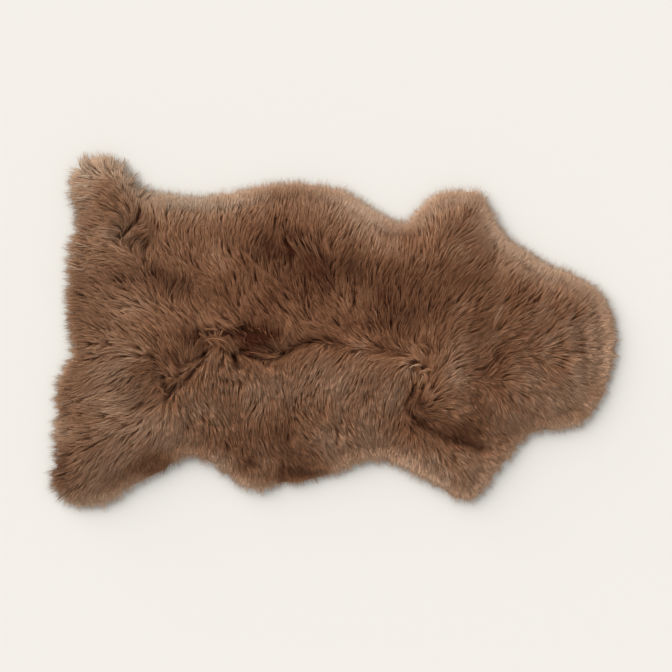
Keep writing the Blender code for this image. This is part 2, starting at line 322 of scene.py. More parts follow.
# %% The height of the coat
LOCK_REACH = 22.0 * MM
RIM_FULLNESS = 25.0 * MM
LEAST_IN_CREASE = 0.35
outside = np.clip(-inside / LOCK_REACH, 0.0, 1.0)
envelope = np.where(inside > 0, np.maximum(heights, RIM_FULLNESS), RIM_FULLNESS * np.sqrt(1 - outside**2))
envelope = softened(envelope, rounds=3)
uncreased = envelope.copy()
envelope = np.maximum(envelope - crease_depth, LEAST_IN_CREASE * envelope)
print("the wool stands", round(float(envelope[on_slab].mean()) / MM, 1), "mm high on average")

# %% [markdown]
# ## Which way the wool lies
# The wool runs out from the back to the flanks, down the legs and off the neck, and it turns in
# whorls at the hip and the withers. Each row of the table is a place on the photo and the way the
# wool lies there, in degrees: 0 points right, to the neck, and 90 up, to the left flank. Between
# the places the way is blended from the nearest ones, and near the rim it turns half outwards. The
# skin lies belly side down with its neck end to the right, so its left side is at the top of the
# photo.

# %% The lie of the wool
LIE = {
    "left hind leg": (
        (93, 165, 135), (113, 167, 110), (90, 180, 175), (105, 185, 155), (115, 185, 145),
        (126, 186, 125), (95, 205, 175), (110, 200, 155), (125, 203, 122), (137, 205, 98),
        (148, 203, 100), (108, 215, 165), (119, 216, 155), (127, 216, 92), (136, 215, 75),
        (146, 215, 80), (88, 225, 170), (105, 227, 178), (115, 229, 190), (126, 226, 50),
        (137, 226, 50), (146, 227, 58), (124, 237, 35), (137, 238, 35), (147, 240, 50),
        (110, 242, 175), (95, 245, 165), (122, 252, 160),
    ),
    "left hip": (
        (88, 265, 178), (110, 262, 160), (130, 262, 155), (145, 258, 105), (155, 264, 120),
        (90, 284, 162), (110, 285, 150), (130, 283, 140), (150, 284, 128), (165, 280, 105),
        (175, 286, 75), (186, 286, 70), (179, 297, 92), (90, 305, 152), (115, 304, 150),
        (140, 305, 140), (165, 306, 138), (190, 306, 135), (95, 320, 150), (116, 320, 145),
        (145, 321, 140), (165, 322, 125), (183, 323, 112), (88, 335, 183), (113, 334, 162),
        (135, 335, 150), (152, 338, 135), (165, 335, 120), (178, 336, 105), (187, 345, 88),
        (197, 350, 70), (188, 358, 85), (165, 350, 125), (175, 358, 125), (160, 364, 135),
        (170, 371, 115),
    ),
    "right hip": (
        (90, 345, 198), (110, 346, 200), (130, 347, 172), (90, 358, 200), (120, 358, 190),
        (140, 360, 200), (75, 375, 205), (87, 381, 213), (105, 372, 195), (120, 375, 220),
        (135, 378, 222), (148, 372, 228), (150, 384, 195), (163, 384, 250), (75, 396, 195),
        (90, 394, 203), (110, 396, 185), (125, 392, 207), (140, 396, 220), (154, 394, 200),
        (164, 398, 240), (80, 410, 178), (100, 408, 190), (120, 412, 192), (138, 410, 210),
        (155, 412, 220), (88, 425, 180), (110, 425, 205), (130, 425, 207), (146, 426, 232),
        (163, 427, 250),
    ),
    "right hind leg": (
        (80, 440, 200), (100, 440, 205), (125, 440, 230), (145, 442, 230), (162, 444, 230),
        (176, 441, 240), (80, 459, 215), (105, 460, 225), (130, 457, 225), (150, 458, 220),
        (75, 479, 225), (100, 480, 230), (120, 475, 235), (85, 496, 225), (110, 492, 235),
        (143, 474, 265),
    ),
    "right loin": (
        (195, 368, 245), (207, 362, 255), (186, 373, 245), (205, 378, 272), (217, 367, 265),
        (227, 362, 290), (235, 371, 288), (246, 367, 298), (256, 368, 303), (268, 364, 322),
        (281, 368, 303), (295, 369, 267), (186, 386, 262), (200, 389, 276), (215, 389, 278),
        (228, 386, 290), (245, 388, 275), (262, 388, 276), (280, 386, 278), (298, 388, 256),
        (183, 398, 300), (204, 402, 300), (222, 405, 297), (237, 405, 296), (254, 411, 245),
        (270, 408, 270), (289, 406, 268), (176, 412, 300), (194, 413, 302), (213, 418, 300),
        (230, 420, 288), (246, 421, 267), (264, 426, 270), (280, 425, 286), (175, 426, 285),
        (190, 428, 292), (208, 432, 280), (225, 436, 285), (186, 446, 245), (202, 445, 268),
    ),
    "right flank": (
        (310, 368, 252), (325, 368, 243), (345, 368, 240), (313, 385, 248), (330, 386, 257),
        (350, 382, 245), (364, 386, 253), (313, 398, 253), (335, 397, 257), (353, 396, 243),
        (335, 409, 268), (354, 410, 278), (369, 408, 278), (305, 408, 275), (295, 419, 302),
        (309, 421, 318), (326, 419, 305), (345, 420, 300), (361, 422, 290), (375, 420, 277),
        (300, 436, 308), (320, 436, 306), (341, 436, 300), (364, 436, 290), (378, 437, 275),
    ),
    "right belly": (
        (240, 440, 266), (255, 446, 280), (267, 441, 295), (278, 455, 308), (291, 451, 314),
        (310, 455, 308), (330, 455, 308), (228, 454, 302), (248, 463, 315), (262, 466, 275),
        (268, 476, 230), (245, 476, 272), (300, 474, 318), (350, 457, 295),
    ),
    "back line": (
        (276, 337, 86), (290, 336, 82), (279, 345, 72), (301, 334, 130), (315, 334, 160),
        (326, 329, 145), (341, 337, 140), (357, 342, 150), (303, 347, 218), (291, 354, 238),
        (279, 358, 200), (266, 357, 185), (315, 353, 245), (330, 353, 238), (345, 355, 232),
        (358, 356, 222), (225, 340, 140), (245, 343, 135), (236, 333, 150), (258, 334, 130),
        (215, 352, 250), (232, 356, 285),
    ),
    "left ribs": (
        (156, 222, 83), (156, 240, 95), (170, 216, 85), (185, 217, 72), (196, 224, 80),
        (214, 225, 88), (228, 215, 72), (246, 214, 68), (265, 214, 57), (255, 228, 62),
        (277, 214, 70), (300, 207, 80), (316, 214, 80), (331, 214, 70), (346, 217, 68),
        (364, 221, 68), (241, 236, 85), (265, 236, 70), (280, 231, 85), (288, 240, 128),
        (297, 228, 108), (298, 246, 126), (309, 249, 126), (306, 232, 106), (316, 240, 98),
        (326, 235, 68), (346, 234, 63), (361, 235, 53), (345, 249, 57), (361, 252, 58),
        (205, 245, 92), (181, 244, 110), (165, 251, 115), (181, 262, 120), (205, 263, 124),
        (225, 262, 115), (240, 257, 113), (264, 258, 106), (280, 262, 98), (301, 261, 118),
        (316, 263, 113), (328, 254, 92), (337, 265, 76), (348, 263, 70),
    ),
    "left of the back": (
        (205, 280, 127), (225, 281, 118), (245, 279, 86), (255, 281, 98), (270, 283, 112),
        (290, 280, 105), (306, 284, 100), (325, 285, 112), (338, 280, 85), (350, 285, 84),
        (365, 285, 90), (378, 288, 88), (215, 300, 124), (240, 301, 122), (265, 301, 128),
        (290, 303, 128), (308, 298, 103), (319, 301, 113), (335, 301, 130), (348, 297, 92),
        (357, 299, 87), (368, 301, 98), (213, 315, 135), (245, 315, 125), (275, 315, 124),
        (300, 315, 122), (325, 315, 124), (350, 314, 125), (365, 315, 128), (345, 328, 130),
    ),
    "left shoulder": (
        (381, 304, 97), (386, 292, 79), (386, 315, 92), (396, 289, 80), (396, 317, 73),
        (407, 288, 72), (407, 313, 64), (420, 284, 66), (415, 304, 82), (426, 300, 72),
        (405, 328, 70), (417, 325, 83), (427, 325, 80), (377, 325, 117), (387, 326, 113),
        (375, 338, 132), (391, 339, 130), (404, 340, 112), (417, 337, 98), (427, 337, 76),
        (437, 338, 55), (400, 262, 80), (421, 262, 75), (381, 240, 72), (401, 246, 76),
        (414, 246, 83), (425, 240, 103), (440, 262, 60), (446, 277, 60), (460, 277, 50),
    ),
    "left fore leg": (
        (425, 212, 80), (434, 215, 95), (435, 227, 86), (446, 212, 80), (446, 227, 70),
        (457, 214, 65), (457, 228, 58), (468, 216, 50), (468, 230, 42), (460, 243, 40),
        (477, 240, 15), (486, 236, 25), (486, 226, 55), (475, 204, 85), (495, 240, 75),
        (496, 255, 72), (505, 256, 50), (477, 256, 40), (497, 268, 58), (516, 266, 38),
    ),
    "withers": (
        (375, 355, 190), (390, 358, 200), (405, 357, 185), (416, 350, 145), (425, 345, 138),
        (370, 368, 228), (390, 368, 226), (398, 376, 254), (408, 378, 258), (417, 376, 255),
        (381, 388, 257), (395, 390, 248), (406, 392, 240), (415, 391, 264), (376, 405, 278),
        (390, 408, 262), (405, 408, 240), (385, 425, 267), (400, 425, 255), (390, 443, 250),
        (405, 444, 245),
    ),
    "right shoulder": (
        (426, 367, 65), (436, 365, 61), (437, 378, 55), (427, 385, 73), (446, 371, 42),
        (457, 376, 32), (466, 367, 22), (426, 397, 60), (437, 394, 28), (450, 393, 8),
        (465, 395, 335), (477, 398, 315), (487, 397, 302), (436, 407, 3), (455, 407, 348),
        (470, 408, 320), (485, 409, 292), (438, 416, 340), (456, 416, 332), (472, 416, 310),
        (487, 418, 297), (418, 416, 308), (418, 429, 300), (428, 427, 317), (441, 426, 325),
        (457, 427, 318), (476, 427, 315), (470, 380, 5), (480, 370, 12),
    ),
    "right fore leg": (
        (427, 441, 298), (445, 441, 305), (460, 441, 318), (417, 447, 282), (426, 456, 293),
        (446, 456, 305), (465, 459, 318), (431, 468, 296), (450, 469, 308), (470, 469, 314),
        (455, 482, 285), (469, 482, 292), (484, 464, 318), (486, 448, 316), (500, 437, 316),
    ),
    "neck": (
        (470, 300, 40), (485, 305, 40), (475, 317, 28), (475, 335, 20), (495, 320, 62),
        (486, 345, 30), (496, 352, 30), (505, 345, 30), (496, 365, 40), (506, 366, 25),
        (516, 345, 16), (516, 334, 15), (487, 382, 330), (500, 390, 325), (516, 365, 0),
        (526, 366, 332), (536, 370, 320), (546, 355, 0), (550, 370, 318), (565, 365, 335),
        (567, 354, 352), (520, 345, 20), (540, 335, 38), (548, 322, 42), (560, 330, 27),
        (578, 333, 12), (590, 330, 14), (592, 315, 28), (520, 285, 48), (535, 300, 42),
        (552, 295, 55), (567, 295, 53), (580, 300, 42), (575, 315, 33), (520, 310, 43),
        (580, 350, 3), (600, 350, 0), (582, 370, 345), (600, 375, 345), (565, 385, 318),
        (585, 392, 320), (540, 395, 320), (515, 400, 315), (500, 412, 305), (520, 415, 308),
        (545, 408, 320), (565, 408, 318), (535, 425, 315),
    ),
}
COMB_REACH = 9.0 * MM
RIM_TURN = 20.0 * MM
RIM_SHARE = 0.5


def rows_of(table):
    """All the rows of a table that is grouped by the part of the throw they are on."""
    return [row for part in table.values() for row in part]


def pointing(angle):
    """A direction, one long, for each angle: 0 is to the right and 90 degrees is up."""
    return np.stack([np.cos(angle), np.sin(angle)], axis=-1)


lie = np.zeros_like(grid_places)
combs = rows_of(LIE)
for photo_x, photo_y, way in combs:
    away = np.sum((grid_places - from_photo(photo_x, photo_y)) ** 2, axis=-1)
    lie += pointing(math.radians(way)) / (away + COMB_REACH**2)[..., None] ** 2
rim_share = RIM_SHARE * np.clip(1 - inside / RIM_TURN, 0.0, 1.3)[..., None]
lie = unit(unit(lie) * (1 - rim_share) + outward(grid_places) * rim_share)
print("the lie is blended from", len(combs), "places")


def lie_at(places):
    """The way the wool lies at places, as vectors one long."""
    return unit(np.stack([read(lie[..., 0], places), read(lie[..., 1], places)], axis=-1))


# %% [markdown]
# ## Soft unevenness
# Wool is never even: locks bunch, lean together and catch the light in patches. A few random waves
# of like length added up give a field that wanders smoothly between about -1 and 1, and the same
# seed gives the same throw each time.

# %% Wandering fields
rng = np.random.default_rng(7)


def wander(places, length, waves=24):
    """A smooth random field over places, with bumps about this long."""
    total = np.zeros(places.shape[:-1])
    for _ in range(waves):
        turn = rng.uniform(0, 2 * math.pi)
        stretch = 2 * math.pi / length * rng.uniform(0.45, 1.0)
        along = places[..., 0] * math.cos(turn) + places[..., 1] * math.sin(turn)
        total += np.cos(along * stretch + rng.uniform(0, 2 * math.pi))
    return total / math.sqrt(waves / 2)


# %% [markdown]
# ## Tone
# The fleece is one brown. Its tone differs in patches: some of that is its own, such as tips
# bleached pale, and the rest is painted light and shade: paler where the wool catches the light,
# darker in hollows and where it lies away from the light. Each row lightens an oval patch, or
# darkens it where its tone is below 0. A patch has its middle, its length and its width in pixels
# of the photo and is turned by so many degrees. It fades out towards its edge, and patches that
# overlap add up.

# %% Patches of tone
Patch = namedtuple("Patch", "name photo_x photo_y length width turn tone")
PATCHES = {
    "left foot": (
        Patch("main", 98, 168, 30, 15, 0, 0.24), Patch("left edge", 82, 190, 12, 24, 0, 0.19),
        Patch("dark spot", 106, 179, 10, 8, 0, -0.20), Patch("pale end", 122, 171, 9, 8, 0, 0.09),
        Patch("low, dark", 95, 214, 15, 9, 0, -0.07), Patch("right side, pale", 135, 176, 8, 12, 20, 0.10),
    ),
    "left hock": (
        Patch("hollow", 110, 204, 14, 15, 0, -0.17), Patch("hollow, left", 78, 221, 14, 20, 0, -0.17),
        Patch("main", 118, 231, 12, 10, 0, 0.28), Patch("below", 140, 214, 9, 12, 0, -0.09),
        Patch("left", 111, 236, 9, 9, 0, 0.08), Patch("hollow, right", 125, 196, 9, 9, 0, -0.06),
        Patch("pale dot", 119, 231, 6, 8, 0, 0.05),
    ),
    "left edge": (
        Patch("main", 79, 304, 14, 44, 0, -0.17), Patch("pale spot", 87, 264, 15, 9, 0, 0.14),
    ),
    "left rim": (
        Patch("hind", 185, 203, 32, 10, 0, 0.17), Patch("loin", 237, 202, 18, 12, 0, 0.21),
        Patch("ribs", 348, 207, 32, 16, -25, 0.26), Patch("middle", 308, 191, 36, 8, 0, -0.11),
        Patch("hock", 150, 193, 14, 8, 0, 0.06), Patch("ribs, hind", 262, 194, 12, 9, 0, 0.07),
        Patch("dark", 275, 190, 11, 7, 0, -0.07),
    ),
    "left flank": (
        Patch("all over", 255, 292, 185, 46, 0, -0.20), Patch("middle", 272, 292, 20, 16, 0, -0.18),
        Patch("left of the middle", 242, 256, 14, 12, 0, -0.13), Patch("low", 212, 288, 16, 9, 0, -0.10),
        Patch("streak", 214, 256, 8, 20, 0, 0.16), Patch("band", 150, 272, 50, 14, 4, -0.28),
        Patch("hind", 184, 292, 8, 8, 0, -0.08), Patch("pale spot", 176, 262, 17, 10, 20, 0.15),
        Patch("pale fleck", 229, 254, 11, 12, 0, 0.12), Patch("low, pale", 265, 290, 14, 8, 0, 0.13),
        Patch("pale lock", 183, 271, 14, 10, 0, 0.12), Patch("hind, pale", 176, 300, 14, 8, 0, 0.08),
        Patch("low, dark", 193, 291, 10, 9, 0, -0.06), Patch("dark dot", 156, 238, 8, 7, 0, -0.07),
    ),
    "left loin": (
        Patch("hind", 178, 236, 32, 12, 0, -0.07), Patch("pale", 217, 212, 10, 10, 0, 0.09),
    ),
    "left ribs": (
        Patch("upper hollow", 285, 241, 27, 18, -20, -0.37),
        Patch("lower hollow", 315, 271, 34, 19, -43, -0.33), Patch("pale spot", 262, 218, 8, 8, 0, 0.07),
        Patch("edge of the hollow", 265, 251, 9, 12, 0, -0.18),
        Patch("pale line", 280, 237, 6, 10, 0, 0.13), Patch("low, pale", 342, 292, 11, 11, 0, 0.21),
        Patch("hind, pale", 255, 254, 11, 9, 0, 0.13), Patch("pale lock", 296, 257, 10, 9, 0, 0.20),
        Patch("dark spot", 248, 225, 9, 10, 0, -0.09), Patch("top, pale", 322, 228, 8, 13, 0, 0.08),
        Patch("right, pale", 332, 269, 9, 15, 0, 0.14), Patch("low, dark", 303, 292, 14, 8, 0, -0.08),
        Patch("low right, dark", 338, 275, 9, 8, 0, -0.08), Patch("dark line", 276, 257, 8, 13, 0, -0.07),
        Patch("dark end", 305, 235, 7, 10, 0, -0.07),
    ),
    "left shoulder": (
        Patch("main", 366, 227, 22, 16, -30, 0.14), Patch("low", 411, 240, 12, 9, 0, -0.13),
        Patch("pale", 385, 248, 24, 9, 0, 0.12), Patch("hind", 348, 222, 10, 10, 0, -0.08),
        Patch("hind, dark", 390, 235, 14, 9, 0, -0.06),
    ),
    "left fore leg": (
        Patch("main", 428, 212, 14, 14, 0, 0.10), Patch("pale", 425, 225, 10, 9, 0, 0.08),
    ),
    "left fore foot": (
        Patch("main", 487, 224, 32, 14, -60, 0.13), Patch("dark spot", 467, 211, 10, 8, 0, -0.10),
        Patch("pale spot", 452, 246, 10, 9, 0, 0.11), Patch("rim", 445, 203, 15, 9, 0, 0.16),
        Patch("low, pale", 470, 257, 10, 7, 0, 0.09), Patch("end", 463, 197, 15, 6, 0, 0.08),
        Patch("pale fleck", 466, 221, 8, 8, 0, 0.06),
    ),
    "hip": (
        Patch("whorl", 150, 368, 24, 20, 20, -0.16), Patch("main", 136, 303, 20, 14, 10, 0.18),
        Patch("below the band", 108, 372, 24, 10, 0, 0.15), Patch("left", 98, 315, 10, 8, 0, -0.12),
        Patch("fold", 169, 355, 11, 10, 0, -0.29), Patch("whorl, left", 138, 369, 8, 9, 0, -0.15),
        Patch("pale spot", 141, 268, 9, 9, 0, 0.12), Patch("right of the band", 157, 338, 11, 9, 0, -0.13),
        Patch("below, pale", 130, 353, 15, 11, 10, 0.20), Patch("whorl, pale", 158, 372, 6, 8, 0, 0.14),
        Patch("whorl, low", 168, 398, 14, 8, -10, -0.08), Patch("dark line", 125, 329, 10, 16, 0, -0.07),
        Patch("dark fleck", 174, 376, 8, 9, 0, -0.10), Patch("pale curl", 160, 380, 7, 7, 0, 0.08),
        Patch("low, dark", 154, 391, 8, 7, 0, -0.08), Patch("left, dark dot", 148, 206, 10, 7, 0, -0.05),
    ),
    "loin": (
        Patch("patch", 256, 337, 21, 14, -10, -0.60),
        Patch("behind the tangle", 192, 335, 22, 11, 0, -0.30),
        Patch("above the tangle", 215, 322, 20, 8, 0, 0.14), Patch("right", 275, 330, 9, 9, 0, -0.18),
        Patch("below the tangle", 188, 364, 14, 10, 0, 0.18),
        Patch("right of the tangle", 229, 326, 9, 8, 0, 0.14), Patch("tangle", 222, 342, 19, 8, 0, -0.13),
        Patch("above the patch", 262, 314, 24, 10, -10, -0.09), Patch("low, pale", 238, 371, 6, 8, 0, 0.10),
        Patch("left of the patch", 243, 354, 9, 10, 0, -0.09),
        Patch("left, dark", 192, 376, 16, 8, -15, -0.08),
        Patch("tangle, left end", 190, 350, 8, 6, 0, -0.08), Patch("tangle, top", 213, 343, 9, 5, 0, -0.06),
        Patch("tangle, pale dot", 200, 327, 8, 8, 0, 0.05), Patch("patch, low", 251, 350, 7, 5, 0, 0.05),
    ),
    "mid back": (
        Patch("main", 357, 272, 38, 19, -30, -0.09), Patch("low", 372, 322, 34, 10, 0, -0.12),
        Patch("middle", 342, 321, 24, 10, 0, -0.13), Patch("dark spot", 389, 303, 14, 17, 0, -0.21),
        Patch("dark line", 334, 332, 9, 8, 0, -0.13), Patch("dark left end", 347, 260, 9, 12, 0, -0.11),
        Patch("dark dot", 299, 349, 8, 6, 0, -0.05), Patch("pale dot", 268, 329, 6, 7, 0, 0.05),
    ),
    "back line": (
        Patch("main", 310, 339, 30, 7, 10, -0.08), Patch("pale lock", 288, 341, 10, 6, 20, 0.10),
        Patch("withers", 340, 351, 8, 6, 0, -0.13), Patch("left", 308, 306, 14, 11, 0, -0.10),
        Patch("right", 276, 359, 22, 7, 0, -0.15), Patch("pale end", 284, 348, 9, 7, 0, 0.08),
        Patch("pale spot", 313, 322, 10, 9, 0, 0.08),
    ),
    "withers": (
        Patch("above", 393, 358, 10, 7, 0, -0.10), Patch("fold", 424, 412, 16, 12, 0, -0.20),
        Patch("left", 395, 339, 14, 8, 0, -0.10), Patch("whirl", 409, 366, 8, 8, 0, 0.18),
        Patch("fold, low", 413, 424, 10, 9, 0, -0.12), Patch("fold, top", 416, 397, 8, 8, 0, -0.17),
        Patch("pale", 411, 365, 6, 9, 0, 0.11), Patch("right of the whirl", 430, 368, 7, 9, 0, -0.10),
        Patch("hind, pale", 359, 346, 9, 12, 0, 0.17), Patch("fold, pale", 416, 414, 8, 7, 0, 0.10),
        Patch("dark line", 379, 343, 8, 13, 0, -0.14), Patch("left, pale", 396, 348, 8, 8, 0, 0.08),
        Patch("whirl, low", 409, 373, 8, 9, 0, 0.08), Patch("low, dark", 419, 398, 10, 8, 0, -0.09),
    ),
    "shoulder blade": (
        Patch("main", 415, 285, 34, 20, 0, -0.22), Patch("nick", 430, 343, 10, 10, 0, -0.12),
        Patch("pale", 402, 294, 16, 10, 0, 0.06), Patch("low, pale", 390, 317, 11, 7, 0, 0.08),
        Patch("dark", 379, 291, 7, 11, 0, -0.09), Patch("hind, dark", 404, 328, 9, 8, 0, -0.07),
    ),
    "shoulder": (
        Patch("behind", 397, 320, 28, 16, 25, -0.12), Patch("behind, right", 430, 318, 20, 14, 0, -0.15),
        Patch("fold", 454, 436, 30, 13, -12, -0.32), Patch("pale band", 457, 362, 12, 34, 0, 0.16),
        Patch("pale top", 460, 306, 8, 8, 0, 0.10), Patch("dark spot", 446, 302, 10, 10, 0, -0.13),
        Patch("pale spot", 430, 329, 8, 8, 0, 0.12), Patch("ridge, pale", 432, 287, 12, 9, 0, 0.07),
        Patch("fold, pale", 440, 432, 9, 8, 0, 0.18), Patch("fold, dark", 470, 430, 10, 8, 0, -0.11),
        Patch("top, pale", 430, 274, 20, 9, 0, 0.07), Patch("dark fleck", 433, 353, 10, 9, 0, -0.08),
        Patch("low, pale", 456, 376, 14, 12, 0, 0.14), Patch("left, pale", 420, 257, 8, 8, 0, 0.09),
        Patch("ridge", 465, 279, 12, 7, 0, -0.09), Patch("pale fleck", 453, 303, 9, 10, 0, 0.07),
        Patch("low, dark", 478, 420, 9, 15, 0, -0.10), Patch("fold, end", 473, 450, 12, 7, 0, 0.08),
        Patch("low left, dark", 470, 312, 7, 6, 0, -0.05), Patch("pale dot", 460, 289, 6, 8, 0, 0.05),
    ),
    "neck band": (
        Patch("main", 499, 360, 9, 20, -15, -0.17), Patch("top", 515, 300, 14, 11, 0, -0.12),
        Patch("foot", 478, 398, 8, 10, 0, -0.10), Patch("left", 481, 319, 9, 12, 0, -0.12),
        Patch("pale spot", 500, 263, 8, 8, 0, 0.04), Patch("low", 500, 392, 7, 10, 0, -0.12),
        Patch("pale lock", 506, 332, 10, 11, 0, 0.13), Patch("pale", 500, 335, 7, 12, 0, 0.06),
    ),
    "neck": (
        Patch("main", 591, 355, 21, 46, 0, 0.27), Patch("right side", 545, 403, 32, 14, 20, 0.16),
        Patch("left rim", 530, 268, 52, 13, -33, 0.20), Patch("pale spot", 541, 308, 8, 10, 0, 0.13),
        Patch("pale band", 551, 338, 12, 11, 0, 0.17),
        Patch("pale band, middle", 546, 358, 10, 13, 0, 0.12),
        Patch("pale band, low", 533, 378, 14, 9, 10, 0.16), Patch("dark fold", 585, 357, 9, 9, 0, -0.09),
        Patch("right, dark", 597, 390, 11, 15, 0, -0.26),
        Patch("right rim, dark", 589, 415, 13, 9, 0, -0.21), Patch("pale lock", 528, 320, 8, 10, 0, 0.11),
        Patch("pale fleck", 571, 325, 9, 11, 0, 0.20), Patch("low, pale", 579, 379, 9, 14, 0, 0.25),
        Patch("right rim, hind", 527, 436, 20, 12, 15, -0.24),
        Patch("low, dark line", 541, 415, 9, 13, 0, -0.07),
        Patch("left rim, end", 567, 274, 24, 8, -30, 0.07),
        Patch("low, pale end", 571, 401, 10, 7, 0, 0.07),
        Patch("right rim, middle", 602, 373, 8, 14, 0, -0.07), Patch("top, dark", 510, 281, 7, 9, 0, -0.07),
        Patch("low right, pale", 580, 399, 13, 10, 0, 0.05),
        Patch("low rim, pale", 550, 418, 11, 8, 0, 0.04), Patch("dark dot", 547, 318, 8, 7, 0, -0.05),
        Patch("pale dot", 530, 327, 8, 8, 0, 0.05),
    ),
    "right foot": (
        Patch("main", 57, 465, 13, 20, 0, -0.42), Patch("left edge", 63, 402, 12, 20, 0, -0.18),
        Patch("top", 75, 372, 13, 15, 0, -0.16), Patch("inner", 80, 438, 12, 22, 0, -0.10),
        Patch("edge", 62, 432, 8, 18, 0, 0.10), Patch("dark spot", 80, 417, 10, 8, 0, -0.10),
        Patch("top, pale", 90, 350, 9, 8, 0, 0.10), Patch("end", 126, 486, 12, 7, 0, -0.07),
        Patch("pale spot", 88, 466, 12, 8, 0, 0.07), Patch("edge, dark", 66, 430, 9, 16, 0, -0.05),
        Patch("top, dark", 79, 390, 8, 8, 0, -0.09), Patch("dark dot", 102, 451, 10, 7, 0, -0.06),
        Patch("end, pale", 90, 499, 13, 7, 0, 0.06),
    ),
    "right hock": (
        Patch("main", 148, 463, 28, 10, 13, -0.42), Patch("rim", 161, 474, 24, 8, 20, -0.58),
        Patch("rim, end", 173, 471, 10, 7, -20, -0.42),
    ),
    "right hip": (
        Patch("main", 108, 410, 28, 24, 0, 0.12), Patch("inner", 146, 424, 27, 13, 8, 0.19),
        Patch("dark spot", 118, 418, 12, 10, 0, -0.08), Patch("low, pale", 105, 438, 20, 10, 0, 0.06),
    ),
    "right thigh": (
        Patch("main", 118, 460, 12, 14, 0, 0.13), Patch("low", 117, 478, 14, 12, 0, -0.12),
        Patch("pale spot", 121, 475, 11, 9, 0, 0.07),
    ),
    "right loin": (
        Patch("main", 205, 408, 16, 12, 0, 0.12), Patch("dark spot", 207, 413, 10, 9, 0, -0.09),
        Patch("pale line", 257, 412, 8, 22, 0, 0.14), Patch("dark line", 238, 420, 7, 18, 0, -0.06),
    ),
    "right flank": (
        Patch("all over", 310, 412, 220, 40, 0, 0.05),
    ),
    "right ribs": (
        Patch("upper", 285, 387, 50, 11, 0, 0.12), Patch("main", 325, 369, 44, 14, 0, 0.13),
        Patch("low", 332, 440, 18, 14, 0, 0.18), Patch("pale spot", 340, 388, 15, 16, 0, 0.16),
        Patch("pale line", 366, 428, 9, 24, 0, 0.10), Patch("dark spot", 350, 421, 9, 13, 0, -0.09),
        Patch("top, dark", 297, 378, 8, 12, 0, -0.07),
    ),
    "right belly": (
        Patch("fold", 297, 477, 34, 10, 5, -0.48), Patch("main", 260, 440, 40, 20, 0, -0.10),
        Patch("middle", 277, 430, 14, 13, 0, -0.17), Patch("left", 256, 456, 18, 12, 0, 0.10),
        Patch("dark spot", 232, 443, 12, 9, 0, -0.15), Patch("low", 294, 456, 30, 9, 0, -0.13),
        Patch("rim", 218, 462, 14, 10, 0, 0.18), Patch("lower rim", 244, 486, 18, 9, -30, 0.20),
        Patch("dark fleck", 288, 444, 9, 9, 0, -0.09), Patch("low rim", 250, 485, 20, 8, 0, 0.08),
        Patch("low, dark", 257, 457, 7, 8, 0, -0.07), Patch("fore, pale", 362, 446, 13, 9, 0, 0.05),
        Patch("rim, pale", 343, 471, 9, 6, 0, 0.05), Patch("fold, top", 284, 469, 18, 6, 0, 0.05),
    ),
    "right shoulder": (
        Patch("main", 398, 398, 12, 12, 0, 0.06), Patch("low", 388, 438, 16, 12, 0, 0.10),
        Patch("dark", 402, 429, 12, 12, 0, -0.19), Patch("pale", 391, 393, 14, 14, 0, 0.18),
        Patch("dark fleck", 462, 427, 12, 8, 0, -0.09),
    ),
    "right fore leg": (
        Patch("main", 420, 457, 26, 10, -10, 0.12), Patch("edge", 428, 473, 30, 10, -25, 0.16),
        Patch("pale", 408, 465, 16, 9, -15, 0.16), Patch("fold, pale", 479, 444, 14, 7, 0, 0.06),
        Patch("inner, pale", 497, 442, 14, 8, -10, 0.06),
    ),
    "right fore foot": (
        Patch("main", 466, 470, 34, 20, 0, 0.17), Patch("dark", 500, 442, 10, 14, 30, -0.10),
        Patch("rim", 441, 487, 12, 9, -25, 0.20), Patch("dark spot", 490, 462, 10, 9, 0, -0.11),
        Patch("band", 466, 474, 38, 8, 0, -0.06), Patch("rim, end", 459, 497, 10, 9, 0, 0.09),
    ),
    "behind the fore foot": (
        Patch("pale", 492, 438, 8, 12, 0, 0.10), Patch("rim, pale", 520, 422, 14, 10, 0, 0.06),
        Patch("dot", 518, 398, 7, 7, 0, 0.06),
    ),
}
patches = rows_of(PATCHES)


def turned(vectors, angle):
    """Vectors, an array of (x, y), turned anticlockwise by an angle."""
    x, y = vectors[..., 0], vectors[..., 1]
    return np.stack(
        [x * np.cos(angle) - y * np.sin(angle), x * np.sin(angle) + y * np.cos(angle)], axis=-1
    )


def patch_tone_and_painted_light(places):
    """How much lighter or darker the fleece is at places than its middle tone: own tone and painted light
    and shade.
    """
    total = np.zeros(places.shape[:-1])
    for patch in patches:
        offset = turned(places - from_photo(patch.photo_x, patch.photo_y), -math.radians(patch.turn))
        away = offset / (np.array((patch.length, patch.width)) * PIXEL)
        total += patch.tone * np.exp(-np.sum(away**2, axis=-1))
    return total


print("patches of tone:", len(patches))

# %% [markdown]
# ## One strand of wool
# A strand is a slim three-sided cone, cut across at a few heights so that it can bend, and fullest
# a little above its root. It is modelled once, standing on the floor and one unit high, and every
# strand of the throw is a copy of it that is bent along its own line.


# %% Model a strand
def level_at(height, levels):
    """Which of the levels a height is nearest to."""
    return int(np.argmin([abs(height - level) for level in levels]))


